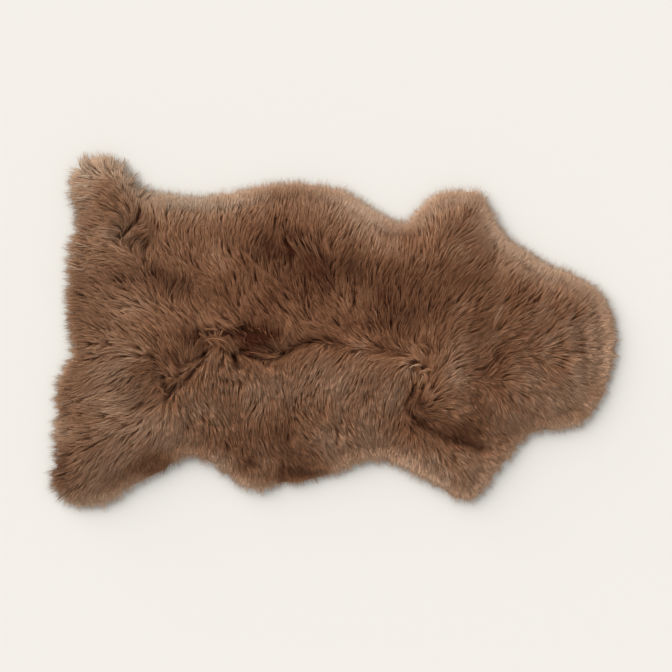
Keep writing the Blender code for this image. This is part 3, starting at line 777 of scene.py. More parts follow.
def model_strand(name, levels, fullness):
    """Adds a three-sided cone, draws its foot out to a point and cuts it where it bends."""
    deselect()
    length = 1.0 - levels[1]
    bpy.ops.mesh.primitive_cone_add(
        vertices=3,
        radius1=0.5,
        radius2=0.0,
        depth=length,
        end_fill_type="TRIFAN",
        location=(0.0, 0.0, 1.0 - length / 2),
    )
    cone = bpy.context.object
    cone.name = name
    bpy.ops.object.transform_apply(location=True, rotation=True, scale=True)
    foot = min(cone.data.vertices, key=lambda vert: vert.co.z + math.hypot(vert.co.x, vert.co.y))
    foot.co = (0.0, 0.0, 0.0)
    bpy.ops.object.mode_set(mode="EDIT")
    for level in levels[2:-1]:
        bpy.ops.mesh.select_all(action="SELECT")
        bpy.ops.mesh.bisect(plane_co=(0, 0, level), plane_no=(0, 0, 1))
    bpy.ops.object.mode_set(mode="OBJECT")
    for vert in cone.data.vertices:
        level = level_at(vert.co.z, levels)
        radius = math.hypot(vert.co.x, vert.co.y)
        if radius > 1e-6:
            vert.co.x *= fullness[level] / 2 / radius
            vert.co.y *= fullness[level] / 2 / radius
    return cone


Strand = namedtuple("Strand", "levels level_of points faces")


def make_strand(name, levels, fullness):
    """A strand's shape as arrays, ready to be laid many times. Its cone is then put away."""
    cone = model_strand(name, levels, fullness)
    points = np.array([vert.co for vert in cone.data.vertices])
    level_of = np.array([level_at(height, levels) for height in points[:, 2]])
    faces = [tuple(face.vertices) for face in cone.data.polygons]
    mesh = cone.data
    bpy.data.objects.remove(cone)
    bpy.data.meshes.remove(mesh)
    return Strand(np.array(levels), level_of, points[:, :2], faces)


def triangles_in(strand):
    """How many triangles one copy of a strand has."""
    return sum(len(face) - 2 for face in strand.faces)


long_strand = make_strand("long_strand", levels=(0.0, 0.33, 0.68, 1.0), fullness=(0.0, 1.0, 0.8, 0.0))
short_strand = make_strand("short_strand", levels=(0.0, 0.45, 1.0), fullness=(0.0, 1.0, 0.0))
for name, strand in (("long", long_strand), ("short", short_strand)):
    print(name, "strand has", len(strand.points), "points and", triangles_in(strand), "triangles")


# %% [markdown]
# ## Laying strands
# Each strand has a line, given as one point for each level of the model. The copy's points go
# round that line, and each keeps two numbers that the wool's material reads: how far along the
# strand it is, from root to tip, and the strand's own tone. The UV map holds the same two numbers,
# so strands of one tone share their place on a picture of the wool.


# %% Lay strands along lines
LOWEST_POINT = 0.3 * MM
UV_EDGE = 0.02


def keep_numbers(mesh, along, tone):
    """Gives each point of a mesh the two numbers that the wool's material reads."""
    for title, values in (("along", along), ("tone", tone)):
        attribute = mesh.attributes.new(title, "FLOAT", "POINT")
        attribute.data.foreach_set("value", values.astype(np.float32))


def lay(name, strand, lines, widths, tones):
    """One mesh of many strands: lines and tones have a row for each strand, a value for each level."""
    count = len(lines)
    ahead = unit(np.gradient(lines, axis=1))
    side = unit(np.cross(ahead, np.array((0.0, 0.0, 1.0))))
    over = np.cross(side, ahead)
    spun = turned(strand.points, rng.uniform(0, 2 * math.pi, (count, 1)))
    at = strand.level_of
    offset = side[:, at] * spun[..., :1] + over[:, at] * spun[..., 1:]
    points = lines[:, at] + offset * widths[:, None, None]
    points[..., 2] = np.maximum(points[..., 2], LOWEST_POINT)
    per_strand = len(strand.points)
    corners = np.concatenate([np.array(face) for face in strand.faces])
    sizes = np.array([len(face) for face in strand.faces])
    starts = np.concatenate([[0], np.cumsum(sizes)[:-1]])
    shift = np.arange(count)[:, None]
    mesh = bpy.data.meshes.new(name)
    mesh.vertices.add(count * per_strand)
    mesh.vertices.foreach_set("co", points.astype(np.float32).ravel())
    mesh.loops.add(count * len(corners))
    vertex_of = (corners[None] + shift * per_strand).ravel()
    mesh.loops.foreach_set("vertex_index", vertex_of.astype(np.int32))
    mesh.polygons.add(count * len(sizes))
    mesh.polygons.foreach_set("loop_start", (starts[None] + shift * len(corners)).ravel().astype(np.int32))
    mesh.polygons.foreach_set("loop_total", np.tile(sizes, count).astype(np.int32))
    mesh.update(calc_edges=True)
    mesh.shade_smooth()
    along = np.tile(strand.levels[at], count)
    tone = tones[:, at].ravel()
    keep_numbers(mesh, along, tone)
    uv = mesh.uv_layers.new(name="OFBake")
    flat = UV_EDGE + (1 - 2 * UV_EDGE) * np.stack([tone[vertex_of], along[vertex_of]], axis=-1)
    uv.uv.foreach_set("vector", flat.astype(np.float32).ravel())
    piece = bpy.data.objects.new(name, mesh)
    bpy.context.scene.collection.objects.link(piece)
    return piece


# %% [markdown]
# ## Where the locks grow
# A lock is a bunch of strands that leave the skin a little apart and come together at their tips.
# Their roots stand on a slightly shaken grid of triangles all over the skin. Each lock runs along
# the lie of the wool with a lean, a wave, a length and a lift of its own, and its neighbours share
# some of each, which bunches the locks as combed wool does. Where the wool parts, its locks lie away
# to both sides and would leave the skin bare, so more of them are set there, and fewer where it meets.

# %% Roots of the locks
TUFT_SPACING = 15.0 * MM
LOCK_SPACING = 5.15 * MM
LOCK_LENGTH = 40.0 * MM
ROOT_FROM_RIM = 0.5 * MM
TUFT_PAST_RIM = 4.0 * MM
CROWDED = (0.45, 5.0)
LEAST_SPREAD = 0.01
RIM_CROWDING = 0.65
RIM_UNEVENNESS = 0.25

spreading = np.gradient(lie[..., 0], CELL, axis=1) + np.gradient(lie[..., 1], CELL, axis=0)
spreading = softened(spreading, rounds=2) * LOCK_LENGTH
spreading = np.where(np.abs(spreading) < LEAST_SPREAD, LEAST_SPREAD, spreading)
crowding = np.clip(spreading / (1 - np.exp(-spreading)), *CROWDED)
crowding *= np.clip(RIM_CROWDING + inside / (60 * MM), RIM_CROWDING, 1)


def scattered(spacing, shake):
    """Places on a grid of triangles over the whole throw, each shaken a little."""
    row_step = spacing * math.sqrt(3) / 2
    rows = np.arange(grid_y[0], grid_y[-1], row_step)
    columns = np.arange(grid_x[0], grid_x[-1], spacing)
    x, y = np.meshgrid(columns, rows)
    x = x + (np.arange(len(rows)) % 2)[:, None] * spacing / 2
    places = np.stack([x, y], axis=-1).reshape(-1, 2)
    return places + rng.uniform(-shake, shake, places.shape) * spacing


rng = np.random.default_rng(11)
tuft_roots = scattered(TUFT_SPACING, shake=0.42)
tuft_roots = tuft_roots[read(inside, tuft_roots) > -TUFT_PAST_RIM]
even_roots = scattered(LOCK_SPACING, shake=0.40)
even_roots = even_roots[rng.uniform(size=len(even_roots)) < read(crowding, even_roots)]
more_roots = scattered(LOCK_SPACING / 2, shake=0.45)
more_roots = more_roots[4 * rng.uniform(size=len(more_roots)) < read(crowding, more_roots) - 1]
roots = np.concatenate([even_roots, more_roots])
roots = roots[read(inside, roots) > ROOT_FROM_RIM]
tuft_of = nearest(tree_of(tuft_roots), roots)


def unevenness(places):
    """How uneven the wool is at places: it lies smoothest near the rim and on the left side."""
    near_rim = np.clip(RIM_UNEVENNESS + read(inside, places) / (80 * MM), RIM_UNEVENNESS, 1)
    left_side = 1 - 0.22 * np.clip(places[..., 1] / (110 * MM), 0, 1)
    return near_rim * left_side


uneven = unevenness(roots)
print("tufts:", len(tuft_roots), "locks:", len(roots))

# %% The lines of the locks
SUBSTEPS = 14
TUFT_PULL = 0.12
TUFTS_ALIKE = 60.0 * MM


def combed(starts, lengths, lean, wave_size, wave_start, wave_count):
    """Lines that start at places and follow the lie of the wool, with a lean and a wave."""
    lines = np.zeros((len(starts), SUBSTEPS + 1, 2))
    lines[:, 0] = starts
    for step in range(SUBSTEPS):
        here = lines[:, step]
        ways = lie_at(here)
        swing = lean + wave_size * np.sin(wave_start + wave_count * 2 * math.pi * step / SUBSTEPS)
        lines[:, step + 1] = here + turned(ways, swing) * (lengths / SUBSTEPS)[:, None]
    return lines


rng = np.random.default_rng(12)
tufts = len(tuft_roots)
tuft_lean = np.radians(7) * wander(tuft_roots, TUFTS_ALIKE) + np.radians(2.5) * rng.normal(size=tufts)
tuft_length = LOCK_LENGTH * (1 + 0.10 * wander(tuft_roots, TUFTS_ALIKE) + 0.06 * rng.normal(size=tufts))
tuft_wave = np.radians(rng.uniform(2, 11, tufts))
tuft_start = rng.uniform(0, 2 * math.pi, tufts)
tuft_count = rng.uniform(0.6, 1.2, tufts)
tuft_lines = combed(tuft_roots, tuft_length, tuft_lean, tuft_wave, tuft_start, tuft_count)

count = len(roots)
lean = tuft_lean[tuft_of] + np.radians(4.5) * uneven * rng.normal(size=count)
lengths = tuft_length[tuft_of] * np.clip(1 + 0.16 * rng.normal(size=count), 0.6, 1.5)
lock_lines = combed(
    roots,
    lengths,
    lean,
    tuft_wave[tuft_of] * rng.uniform(0.7, 1.3, count),
    tuft_start[tuft_of] + 0.5 * rng.normal(size=count),
    tuft_count[tuft_of],
)
pull = TUFT_PULL * rng.uniform(0.5, 1.5, count)[:, None] * np.linspace(0, 1, SUBSTEPS + 1) ** 1.4
lock_lines += pull[..., None] * (tuft_lines[tuft_of] - lock_lines)
print("each lock's line has", SUBSTEPS + 1, "points")


# %% [markdown]
# ## Trimming
# The locks reach 20 mm or so past the rim of the solid's slab. In a few places on the photo they
# reach less, given here in millimetres with how far round the place, in pixels, that goes. A minus
# sign is for more. Past the rim the ends of locks also draw together in clumps, which makes the
# edge ragged: most of all at the hind end, then on the right and at the neck.

# %% How far the locks reach
LOCK_OVERHANG = 20.0 * MM
Trim = namedtuple("Trim", "name photo_x photo_y less reach")
TRIMS = (
    Trim("left foot, end", 97, 160, 3, 18),
    Trim("left foot, corner", 77, 162, 17, 9),
    Trim("left foot, right side", 135, 171, 5, 13),
    Trim("left foot, notch", 79, 215, 6, 5),
    Trim("fore leg, notch", 411, 223, 14, 8),
    Trim("fore leg, bulge", 503, 223, 5, 8),
    Trim("right flank", 190, 463, 4, 24),
    Trim("right foot, end", 98, 506, -2, 18),
    Trim("right foot, corner", 52, 478, -4, 14),
    Trim("right belly", 252, 492, 2, 18),
    Trim("left edge, lower", 57, 392, -3, 20),
)


def less_reach(places):
    """How much less the locks at places reach past the rim."""
    total = np.zeros(places.shape[:-1])
    for trim in TRIMS:
        gap = np.linalg.norm(places - from_photo(trim.photo_x, trim.photo_y), axis=-1)
        total += trim.less * MM * np.exp(-((gap / (trim.reach * PIXEL)) ** 2))
    return total


# %% Clumps at the rim
CLUMP_SPACING = 12.0 * MM
CLUMP_PAST_RIM = 10.0 * MM
CLUMP_BAND = 7.0 * MM
CLUMP_DRAW = 0.55
LEAST_RAGGED = 0.35
SHADED_WAY = np.array((0.64, -0.77))

rng = np.random.default_rng(13)
clumps = scattered(CLUMP_SPACING, shake=0.35)
clumps = clumps[np.abs(read(inside, clumps) + CLUMP_PAST_RIM) < CLUMP_BAND]
clump_tree = tree_of(clumps)
clump_strength = rng.uniform(0.1, 1.5, len(clumps))


def shaded(places):
    """How much the rim nearest to places faces away from the sun."""
    return np.clip(outward(places) @ SHADED_WAY, 0, 1)


def raggedness(places):
    """How ragged the rim is at places: most at the hind end, then on the right and at the neck."""
    hind = np.clip(-places[..., 0] / (250 * MM) - 0.6, LEAST_RAGGED, 1)
    return np.maximum(hind, LEAST_RAGGED + 0.4 * shaded(places))


def to_clump(ends):
    """From the ends of lines, the way across to the middle of the nearest clump."""
    clump = nearest(clump_tree, ends)
    gap = clumps[clump] - ends
    ahead = outward(ends)
    across = gap - ahead * (gap * ahead).sum(axis=-1, keepdims=True)
    return across * (clump_strength[clump] * raggedness(ends))[:, None]


def drawn_to_clump(lines, across):
    """The lines with their parts past the rim drawn to the middle of their clump."""
    past = np.clip(-read(inside, lines) / LOCK_OVERHANG, 0, 1)
    return lines + CLUMP_DRAW * past[..., None] * across[:, None]


print("clumps at the rim:", len(clumps))

# %% Trim the locks to the outline
LOCK_REACHES = (6.0 * MM, 28.0 * MM)
SIDEWAYS_COST = 0.9


def points_at(lines, shares):
    """The points at these shares of each line: shares has a row for each line."""
    at = shares * SUBSTEPS
    low = np.minimum(at.astype(int), SUBSTEPS - 1)
    part = (at - low)[..., None]
    line = np.arange(len(lines))[:, None]
    return lines[line, low] * (1 - part) + lines[line, low + 1] * part


def trimmed(lines, allowed):
    """The lines cut where they get further outside the rim than is allowed for each."""
    beyond = -read(inside, lines) - allowed[:, None]
    past = beyond > 0
    first = np.argmax(past, axis=1)
    line = np.arange(len(lines))
    before = beyond[line, np.maximum(first - 1, 0)]
    after = beyond[line, first]
    part = np.clip(-before / np.maximum(after - before, 1e-9), 0, 1)
    share = np.where(past.any(axis=1), (first - 1 + part) / SUBSTEPS, 1.0)
    share = np.clip(share, 0.15, 1.0)
    return points_at(lines, share[:, None] * np.linspace(0, 1, SUBSTEPS + 1))


rng = np.random.default_rng(14)
ends = lock_lines[:, -1]
own_reach = 2.5 * MM * rng.normal(size=tufts)[tuft_of] + 2.5 * MM * rng.normal(size=count)
across = to_clump(ends)
reach = LOCK_OVERHANG + own_reach * raggedness(ends) - SIDEWAYS_COST * np.linalg.norm(across, axis=-1)
reach -= less_reach(ends)
lock_lines = drawn_to_clump(trimmed(lock_lines, np.clip(reach, *LOCK_REACHES)), across)
print("locks trimmed")

# %% [markdown]
# ## From locks to strands
# Each lock gets two long strands and three short ones. They start a little apart round the lock's
# line, lie on the coat's height there, rise towards their tips and gather as they go. Between the
# locks of a tuft the lift differs a little, so that some lie over others.

# %% Strands of each lock
LONG_IN_LOCK = 2
SHORT_IN_LOCK = 3
FULL_ROOM = 30.0 * MM


def strands_of_locks(strand, per_lock, spread, gather, share, rise, lift_size):
    """
    Lines for strands of each lock: they start spread out and gather towards the lock's tip.

    share: none starts past the first share of its lock's line or ends before the second.
    rise: its heights at the lock's root and tip, as shares of the coat's, and the power between.
    """
    total = count * per_lock
    low_share = rng.uniform(0.0, share[0], (total, 1))
    high_share = rng.uniform(share[1], 1.0, (total, 1))
    shares = low_share + (high_share - low_share) * strand.levels
    middle = points_at(np.repeat(lock_lines, per_lock, axis=0), shares)
    turn = rng.uniform(0, 2 * math.pi, total)
    away = spread * np.sqrt(rng.uniform(0.02, 1.0, total))
    start = pointing(turn) * away[:, None]
    closing = (1 - gather * strand.levels**1.3)[None, :, None]
    flat = middle + start[:, None] * closing
    ground = read(envelope, flat)
    lift = np.repeat(lock_lift, per_lock) + 0.5 * np.repeat(uneven, per_lock) * rng.normal(size=total)
    heights_along = rise[0] + (rise[1] - rise[0]) * shares ** rise[2]
    room = np.clip(ground / FULL_ROOM, 0.1, 1)
    top = ground * heights_along + lift_size * lift[:, None] * shares * room
    return np.concatenate([flat, top[..., None]], axis=-1)


rng = np.random.default_rng(15)
lock_lift = 0.13 * wander(roots, 40 * MM) + 0.05 * rng.normal(size=tufts)[tuft_of]
lock_lift = (lock_lift + 0.14 * rng.normal(size=count)) * uneven
long_lines = strands_of_locks(
    long_strand,
    LONG_IN_LOCK,
    spread=2.6 * MM,
    gather=0.3,
    share=(0.15, 0.8),
    rise=(0.66, 0.99, 0.8),
    lift_size=1.8 * MM,
)
short_lines = strands_of_locks(
    short_strand,
    SHORT_IN_LOCK,
    spread=3.0 * MM,
    gather=0.2,
    share=(0.3, 0.6),
    rise=(0.64, 0.95, 0.8),
    lift_size=1.6 * MM,
)
print("long strands:", len(long_lines), "short strands:", len(short_lines))

# %% [markdown]
# ## Loose hair at the rim
# The rim of a skin is softer than its back: fine hairs leave the locks, reach a few millimetres past
# them and thin out. They are short strands from a band along the rim, combed, drawn to the clumps
# and trimmed as the locks are. About a third of them are strays, which are finer and reach further.

# %% Loose hair at the rim
FUZZ_SPACING = 2.4 * MM
FUZZ_BAND = (-4.0 * MM, 30.0 * MM)
FUZZ_FADING = 14.0 * MM
FUZZ_LENGTH = 46.0 * MM
FUZZ_OVERHANG = 23.5 * MM
FUZZ_REACHES = (8.0 * MM, 37.0 * MM)
STRAY_SHARE = 0.32
STRAY_REACH = (1.0 * MM, 12.0 * MM)
BURIED = np.array((0.25, 0.04, 0.0))

rng = np.random.default_rng(16)
fuzz_roots = scattered(FUZZ_SPACING, shake=0.5)
fuzz_depth = read(inside, fuzz_roots)
fading = rng.uniform(0, FUZZ_FADING, len(fuzz_roots))
in_band = (fuzz_depth > FUZZ_BAND[0]) & (fuzz_depth + fading < FUZZ_BAND[1])
fuzz_roots = fuzz_roots[in_band]
fuzz = len(fuzz_roots)
fuzz_flat = combed(
    fuzz_roots,
    FUZZ_LENGTH * rng.uniform(0.8, 1.2, fuzz),
    np.radians(8) * rng.normal(size=fuzz),
    np.radians(rng.uniform(3, 14, fuzz)),
    rng.uniform(0, 2 * math.pi, fuzz),
    rng.uniform(0.5, 1.1, fuzz),
)
ends = fuzz_flat[:, -1]
across = to_clump(ends)
stray = rng.uniform(size=fuzz) < STRAY_SHARE
ragged = raggedness(ends)
fuzz_reach = FUZZ_OVERHANG + 3.5 * MM * ragged * rng.normal(size=fuzz)
fuzz_reach += np.where(stray, rng.uniform(*STRAY_REACH, fuzz), 0)
fuzz_reach -= less_reach(ends) + 2 * MM * shaded(ends)
fuzz_reach -= SIDEWAYS_COST * np.linalg.norm(across, axis=-1)
fuzz_flat = drawn_to_clump(trimmed(fuzz_flat, np.clip(fuzz_reach, *FUZZ_REACHES)), across)
fuzz_flat = points_at(fuzz_flat, np.tile(short_strand.levels, (fuzz, 1)))
fuzz_shaded = shaded(fuzz_flat[:, -1])
share_high = rng.uniform(0.89, 0.98, (fuzz, 1)) - BURIED
share_high -= 0.25 * (ragged[:, None] - LEAST_RAGGED)
fuzz_high = read(envelope, fuzz_flat) * share_high + 1.0 * MM
fuzz_high += rng.uniform(1 * MM, 4.3 * MM, (fuzz, 1)) * short_strand.levels**2
fuzz_lines = np.concatenate([fuzz_flat, fuzz_high[..., None]], axis=-1)
print("loose hairs at the rim:", fuzz)

# %% [markdown]
# ## Curls and wisps
# A few locks don't lie with the rest: they curl round in the loin, at the withers, at the hip and
# the left hock, and long wisps stand out from the left hind foot and along the hind edge. Each row
# starts one such lock on the photo, heads it one way in degrees and bends it by so many more over
# its length in millimetres. A negative bend turns it clockwise. The last number is its tone.

# %% Curls
Curl = namedtuple("Curl", "photo_x photo_y way bend length tone")
CURLS = {
    "loin tangle": (
        Curl(203, 331, 75, -120, 22, 0.14), Curl(209, 330, 50, -90, 18, 0.10),
        Curl(214, 338, 60, 45, 20, 0.14), Curl(219, 337, 110, -50, 16, 0.08),
        Curl(197, 331, 325, 8, 30, 0.10), Curl(202, 335, 320, 10, 30, 0.08),
        Curl(207, 334, 330, -20, 32, 0.06), Curl(212, 333, 315, -25, 32, 0.08),
        Curl(194, 350, 88, -75, 36, 0.02), Curl(197, 348, 85, -80, 36, 0.0),
        Curl(200, 345, 70, -80, 38, 0.02), Curl(203, 341, 35, -70, 40, 0.02),
        Curl(208, 338, 10, -55, 42, 0.04), Curl(212, 341, 0, -60, 40, 0.0),
        Curl(216, 338, 340, -40, 40, 0.04), Curl(222, 336, 318, -25, 38, 0.08),
        Curl(226, 333, 308, -12, 38, 0.10), Curl(230, 336, 300, -10, 34, 0.04),
        Curl(237, 327, 80, -110, 20, -0.06), Curl(244, 324, 150, 60, 18, -0.08),
    ),
    "loin patch": (
        Curl(238, 338, 330, 15, 60, 0.00), Curl(243, 335, 325, 20, 60, 0.00),
        Curl(250, 333, 318, 20, 58, 0.00), Curl(258, 331, 312, 15, 50, 0.02),
        Curl(267, 331, 300, 10, 44, 0.02), Curl(240, 331, 60, -200, 18, 0.08),
        Curl(247, 330, 100, -220, 18, 0.10), Curl(254, 329, 80, -200, 18, 0.08),
        Curl(261, 331, 60, -200, 16, 0.10), Curl(245, 336, 200, 150, 16, 0.06),
        Curl(252, 335, 240, 160, 18, 0.08), Curl(260, 335, 220, 140, 16, 0.08),
    ),
    "loin, right of the hole": (
        Curl(243, 352, 20, -50, 46, 0.0), Curl(250, 354, 15, -40, 48, 0.02),
        Curl(262, 356, 5, 20, 44, 0.0), Curl(238, 354, 350, -55, 44, 0.02),
    ),
    "hip whorl": (
        Curl(168, 392, 230, -170, 22, 0.06), Curl(164, 388, 220, -150, 20, 0.02),
        Curl(158, 384, 190, 70, 26, 0.04), Curl(156, 376, 175, 80, 28, 0.02),
        Curl(150, 372, 160, 60, 26, 0.0), Curl(164, 400, 240, 20, 34, 0.10),
        Curl(168, 401, 262, 5, 34, 0.10), Curl(173, 400, 285, 5, 36, 0.06),
    ),
    "left hock": (
        Curl(130, 231, 30, -30, 30, 0.06), Curl(132, 235, 20, 15, 30, 0.04),
        Curl(136, 232, 35, -50, 26, 0.08), Curl(139, 238, 25, 20, 24, 0.04),
        Curl(127, 222, 95, 40, 34, 0.06), Curl(124, 226, 110, 50, 40, 0.06),
        Curl(121, 231, 150, 30, 40, 0.04),
    ),
    "withers": (
        Curl(410, 368, 95, -150, 22, 0.12), Curl(413, 366, 85, -140, 18, 0.10),
        Curl(420, 374, 100, -150, 22, 0.12), Curl(423, 372, 80, -120, 18, 0.10),
        Curl(414, 384, 85, 20, 26, 0.06), Curl(418, 388, 80, -25, 28, 0.06),
        Curl(424, 384, 75, 50, 24, 0.08), Curl(427, 380, 95, 35, 22, 0.06),
        Curl(412, 346, 300, 20, 34, 0.06), Curl(416, 342, 290, 15, 30, 0.06),
        Curl(408, 392, 80, 15, 26, 0.04), Curl(404, 388, 70, 25, 28, 0.04),
    ),
    "mid back": (
        Curl(364, 308, 235, 110, 26, 0.10), Curl(361, 311, 260, 80, 24, 0.08),
        Curl(371, 307, 330, -70, 22, 0.08), Curl(356, 292, 280, 10, 30, 0.10),
    ),
    "ribs": (
        Curl(312, 258, 128, -12, 44, 0.22), Curl(308, 259, 127, -10, 46, 0.20),
        Curl(316, 254, 122, -12, 42, 0.20), Curl(303, 258, 130, -14, 44, 0.18),
        Curl(299, 252, 132, -12, 40, 0.18), Curl(320, 262, 118, -8, 40, 0.18),
    ),
    "neck band": (
        Curl(484, 376, 30, 25, 34, 0.03), Curl(488, 371, 40, 15, 30, 0.02),
        Curl(494, 322, 80, -25, 36, 0.08), Curl(491, 330, 75, -10, 36, 0.06),
    ),
}
WISPS = {
    "left hind foot": (
        Curl(93, 173, 176, -76, 45, 0.14), Curl(92, 171, 172, -74, 47, 0.16),
        Curl(93, 170, 168, -70, 45, 0.16), Curl(94, 169, 162, -66, 45, 0.18),
        Curl(95, 168, 155, -58, 43, 0.18), Curl(92, 177, 178, -66, 44, 0.14),
        Curl(106, 170, 120, -25, 36, 0.24), Curl(112, 170, 104, -15, 34, 0.24),
        Curl(120, 172, 84, -5, 30, 0.24), Curl(127, 184, 55, -6, 34, 0.14),
        Curl(137, 197, 66, -14, 36, 0.14), Curl(141, 199, 50, -12, 32, 0.14),
    ),
    "left edge": (
        Curl(92, 174, 178, 5, 34, 0.18), Curl(90, 184, 180, 0, 34, 0.16),
        Curl(90, 196, 183, 5, 36, 0.16), Curl(88, 205, 185, 5, 34, 0.14),
        Curl(90, 228, 160, -5, 34, 0.12), Curl(90, 236, 162, 0, 30, 0.12),
        Curl(90, 246, 165, 0, 36, 0.12), Curl(86, 254, 168, 0, 36, 0.10),
        Curl(86, 268, 172, 0, 36, 0.10), Curl(72, 398, 190, 10, 30, 0.06),
        Curl(70, 412, 188, 8, 28, 0.06), Curl(68, 428, 184, 0, 26, 0.06),
        Curl(66, 452, 186, 10, 28, 0.04), Curl(66, 470, 190, 15, 28, 0.04),
        Curl(70, 486, 215, 10, 30, 0.06), Curl(84, 492, 250, 10, 26, 0.08),
    ),
}
CURL_STRANDS = 8
CURL_SPREAD = 1.6 * MM
CURL_WIDTH = 1.1 * MM
WISP_WIDTH = 1.25 * MM
curl_strand = make_strand(
    "curl_strand", levels=(0.0, 0.15, 0.35, 0.55, 0.78, 1.0), fullness=(0.0, 1.0, 1.0, 0.9, 0.6, 0.0)
)


def curl_rows(curls):
    """Lines and tones for the strands of the curls, each strand a little off its lock's middle."""
    table = np.repeat(np.array(curls, float), CURL_STRANDS, axis=0)
    photo_x, photo_y, start_way, bend, length, own_tone = table.T
    rows = len(table)
    share = np.linspace(0, 1, SUBSTEPS + 1)
    way = np.radians(start_way[:, None] + 5 * rng.normal(size=(rows, 1)) + bend[:, None] * share)
    step = length * MM * rng.uniform(0.75, 1.1, rows) / SUBSTEPS
    run = pointing(way) * step[:, None, None]
    line = np.cumsum(run, axis=1) - run[:, :1]
    levels = curl_strand.levels
    aside = np.stack([-np.sin(way[:, 0]), np.cos(way[:, 0])], axis=-1) * rng.normal(size=(rows, 1))
    flat = points_at(from_photo(photo_x, photo_y)[:, None] + line, np.tile(levels, (rows, 1)))
    gather = np.where(read(inside, flat[:, -1]) < 0, 0.65, 0.1)[:, None]
    flat = flat + aside[:, None] * (CURL_SPREAD * (1 - gather * levels))[..., None]
    high = read(uncreased, flat) * (0.84 + 0.12 * levels) + 2.0 * MM * np.sin(levels * math.pi)
    high = np.maximum(high + 1.0 * MM * rng.normal(size=(rows, 1)), 1.5 * MM)
    tones = own_tone[:, None] - 0.06 + 0.11 * rng.normal(size=(rows, 1)) + 0.06 * levels
    return np.concatenate([flat, high[..., None]], axis=-1), tones


rng = np.random.default_rng(17)
curl_lines, curl_tones = curl_rows(rows_of(CURLS))
curl_widths = CURL_WIDTH * rng.uniform(0.7, 1.25, len(curl_lines))
wisp_lines, wisp_tones = curl_rows(rows_of(WISPS))
wisp_widths = WISP_WIDTH * rng.uniform(0.7, 1.25, len(wisp_lines))
print("strands in curls:", len(curl_lines), "and in wisps:", len(wisp_lines))

# %% [markdown]
# ## A tone for each strand
# A strand's tone is that of its place, where patches, creases and the rim have their say, with a
# little of its lock's and of its own. The patches hold the fleece's own tone and painted light and
# shade, and the creases painted shade. The wool is painted palest at the rim: painted light that
# stands in for light through its thin ends and lifts the side away from the sun. Hair at the rim
# is wider on the shaded side, where the light shows less of it.

# %% Tones and widths of the strands
MIDDLE_TONE = 0.5
TONE_RANGE = (-0.4, 1.3)
# The way the rim faces where its painted light is strongest: up and to the right.
PAINTED_LIGHT_WAY = np.array((0.77, 0.64))
LONG_WIDTH = 1.05 * MM
SHORT_WIDTH = 1.25 * MM
RIM_HAIR_WIDTH = 0.9 * MM
STRAY_WIDTH = 0.55 * MM


def painted_rim_light(places):
    """Painted light: how much lighter the wool is painted near the rim and past it, which differs from side
    to side.
    """
    depth = read(inside, places)
    # Painted light: near lightens the last stretch inside the rim, most where it faces up and to the right;
    # side lightens a wider band on the side away from the sun; ends lightens the hair past the rim, most on
    # that side, against the shade there.
    near = 0.12 * np.clip(1 - depth / (34 * MM), 0, 1.4) * (1 + 0.6 * outward(places) @ PAINTED_LIGHT_WAY)
    side = 0.10 * np.clip(1 - depth / (85 * MM), 0, 1) * shaded(places)
    ends = (0.1 + 0.45 * shaded(places)) * np.clip((-depth - 6 * MM) / (14 * MM), 0, 1.2)
    return near * (1 - 0.25 * shaded(places)) + side + ends


def strand_tones(lines, own, shared=0.0):
    """Each strand's tone at each of its levels: its place's, its lock's and its own."""
    places = lines[..., :2]
    # The place's tone: the patches' own tone and painted light and shade, the painted rim light, less the
    # painted shade of the creases.
    total = MIDDLE_TONE + patch_tone_and_painted_light(places) + painted_rim_light(places) - read(painted_crease_shade, places)
    strand_share = shared + own * unevenness(places[:, 0]) * rng.normal(size=len(lines))
    return np.clip(total + strand_share[:, None], *TONE_RANGE)


rng = np.random.default_rng(18)
lock_tone = 0.02 * wander(roots, 70 * MM) + 0.01 * rng.normal(size=tufts)[tuft_of]
lock_tone = lock_tone + 0.025 * uneven * rng.normal(size=count)
long_tones = strand_tones(long_lines, 0.065, np.repeat(lock_tone, LONG_IN_LOCK))
short_tones = strand_tones(short_lines, 0.055, np.repeat(lock_tone, SHORT_IN_LOCK))
long_widths = LONG_WIDTH * rng.uniform(0.7, 1.3, len(long_lines))
short_widths = SHORT_WIDTH * rng.uniform(0.7, 1.3, len(short_lines))
# The rim hair takes back about half of the darkening towards the root: painted light against the shade
# inside the rim.
fuzz_tones = strand_tones(fuzz_lines, 0.03) + 0.18 * (0.6 - short_strand.levels)
fuzz_widths = np.where(stray, STRAY_WIDTH, RIM_HAIR_WIDTH) * rng.uniform(0.7, 1.3, fuzz)
fuzz_widths *= 1 + 0.6 * fuzz_shaded
curl_tones = np.clip(MIDDLE_TONE + curl_tones + 0.75 * patch_tone_and_painted_light(curl_lines[..., :2]), *TONE_RANGE)
wisp_tones = np.clip(MIDDLE_TONE + wisp_tones + 0.5 * patch_tone_and_painted_light(wisp_lines[..., :2]), *TONE_RANGE)
print("tones run from", round(long_tones.min(), 2), "to", round(long_tones.max(), 2))

# %% [markdown]
# ## The colour of wool
# A strand is dark at its root, partly from grease and partly as painted shade, and bleached towards
# its tip. The material reads how far along the strand a point is and the strand's tone, and mixes
# three browns. A fine streak noise keeps strands from looking painted. It is built as a group of
# nodes, because the underwool uses it too.


# %% Node helpers
def new_group(title, inputs, outputs):
    """A shader node group with these named sockets: {name: (type, default)}."""
    group = bpy.data.node_groups.new(title, "ShaderNodeTree")
    for name, (kind, default) in inputs.items():
        socket = group.interface.new_socket(name=name, in_out="INPUT", socket_type=kind)
        socket.default_value = default
    for name, kind in outputs.items():
        group.interface.new_socket(name=name, in_out="OUTPUT", socket_type=kind)
    group.nodes.new("NodeGroupInput")
    group.nodes.new("NodeGroupOutput")
    return group


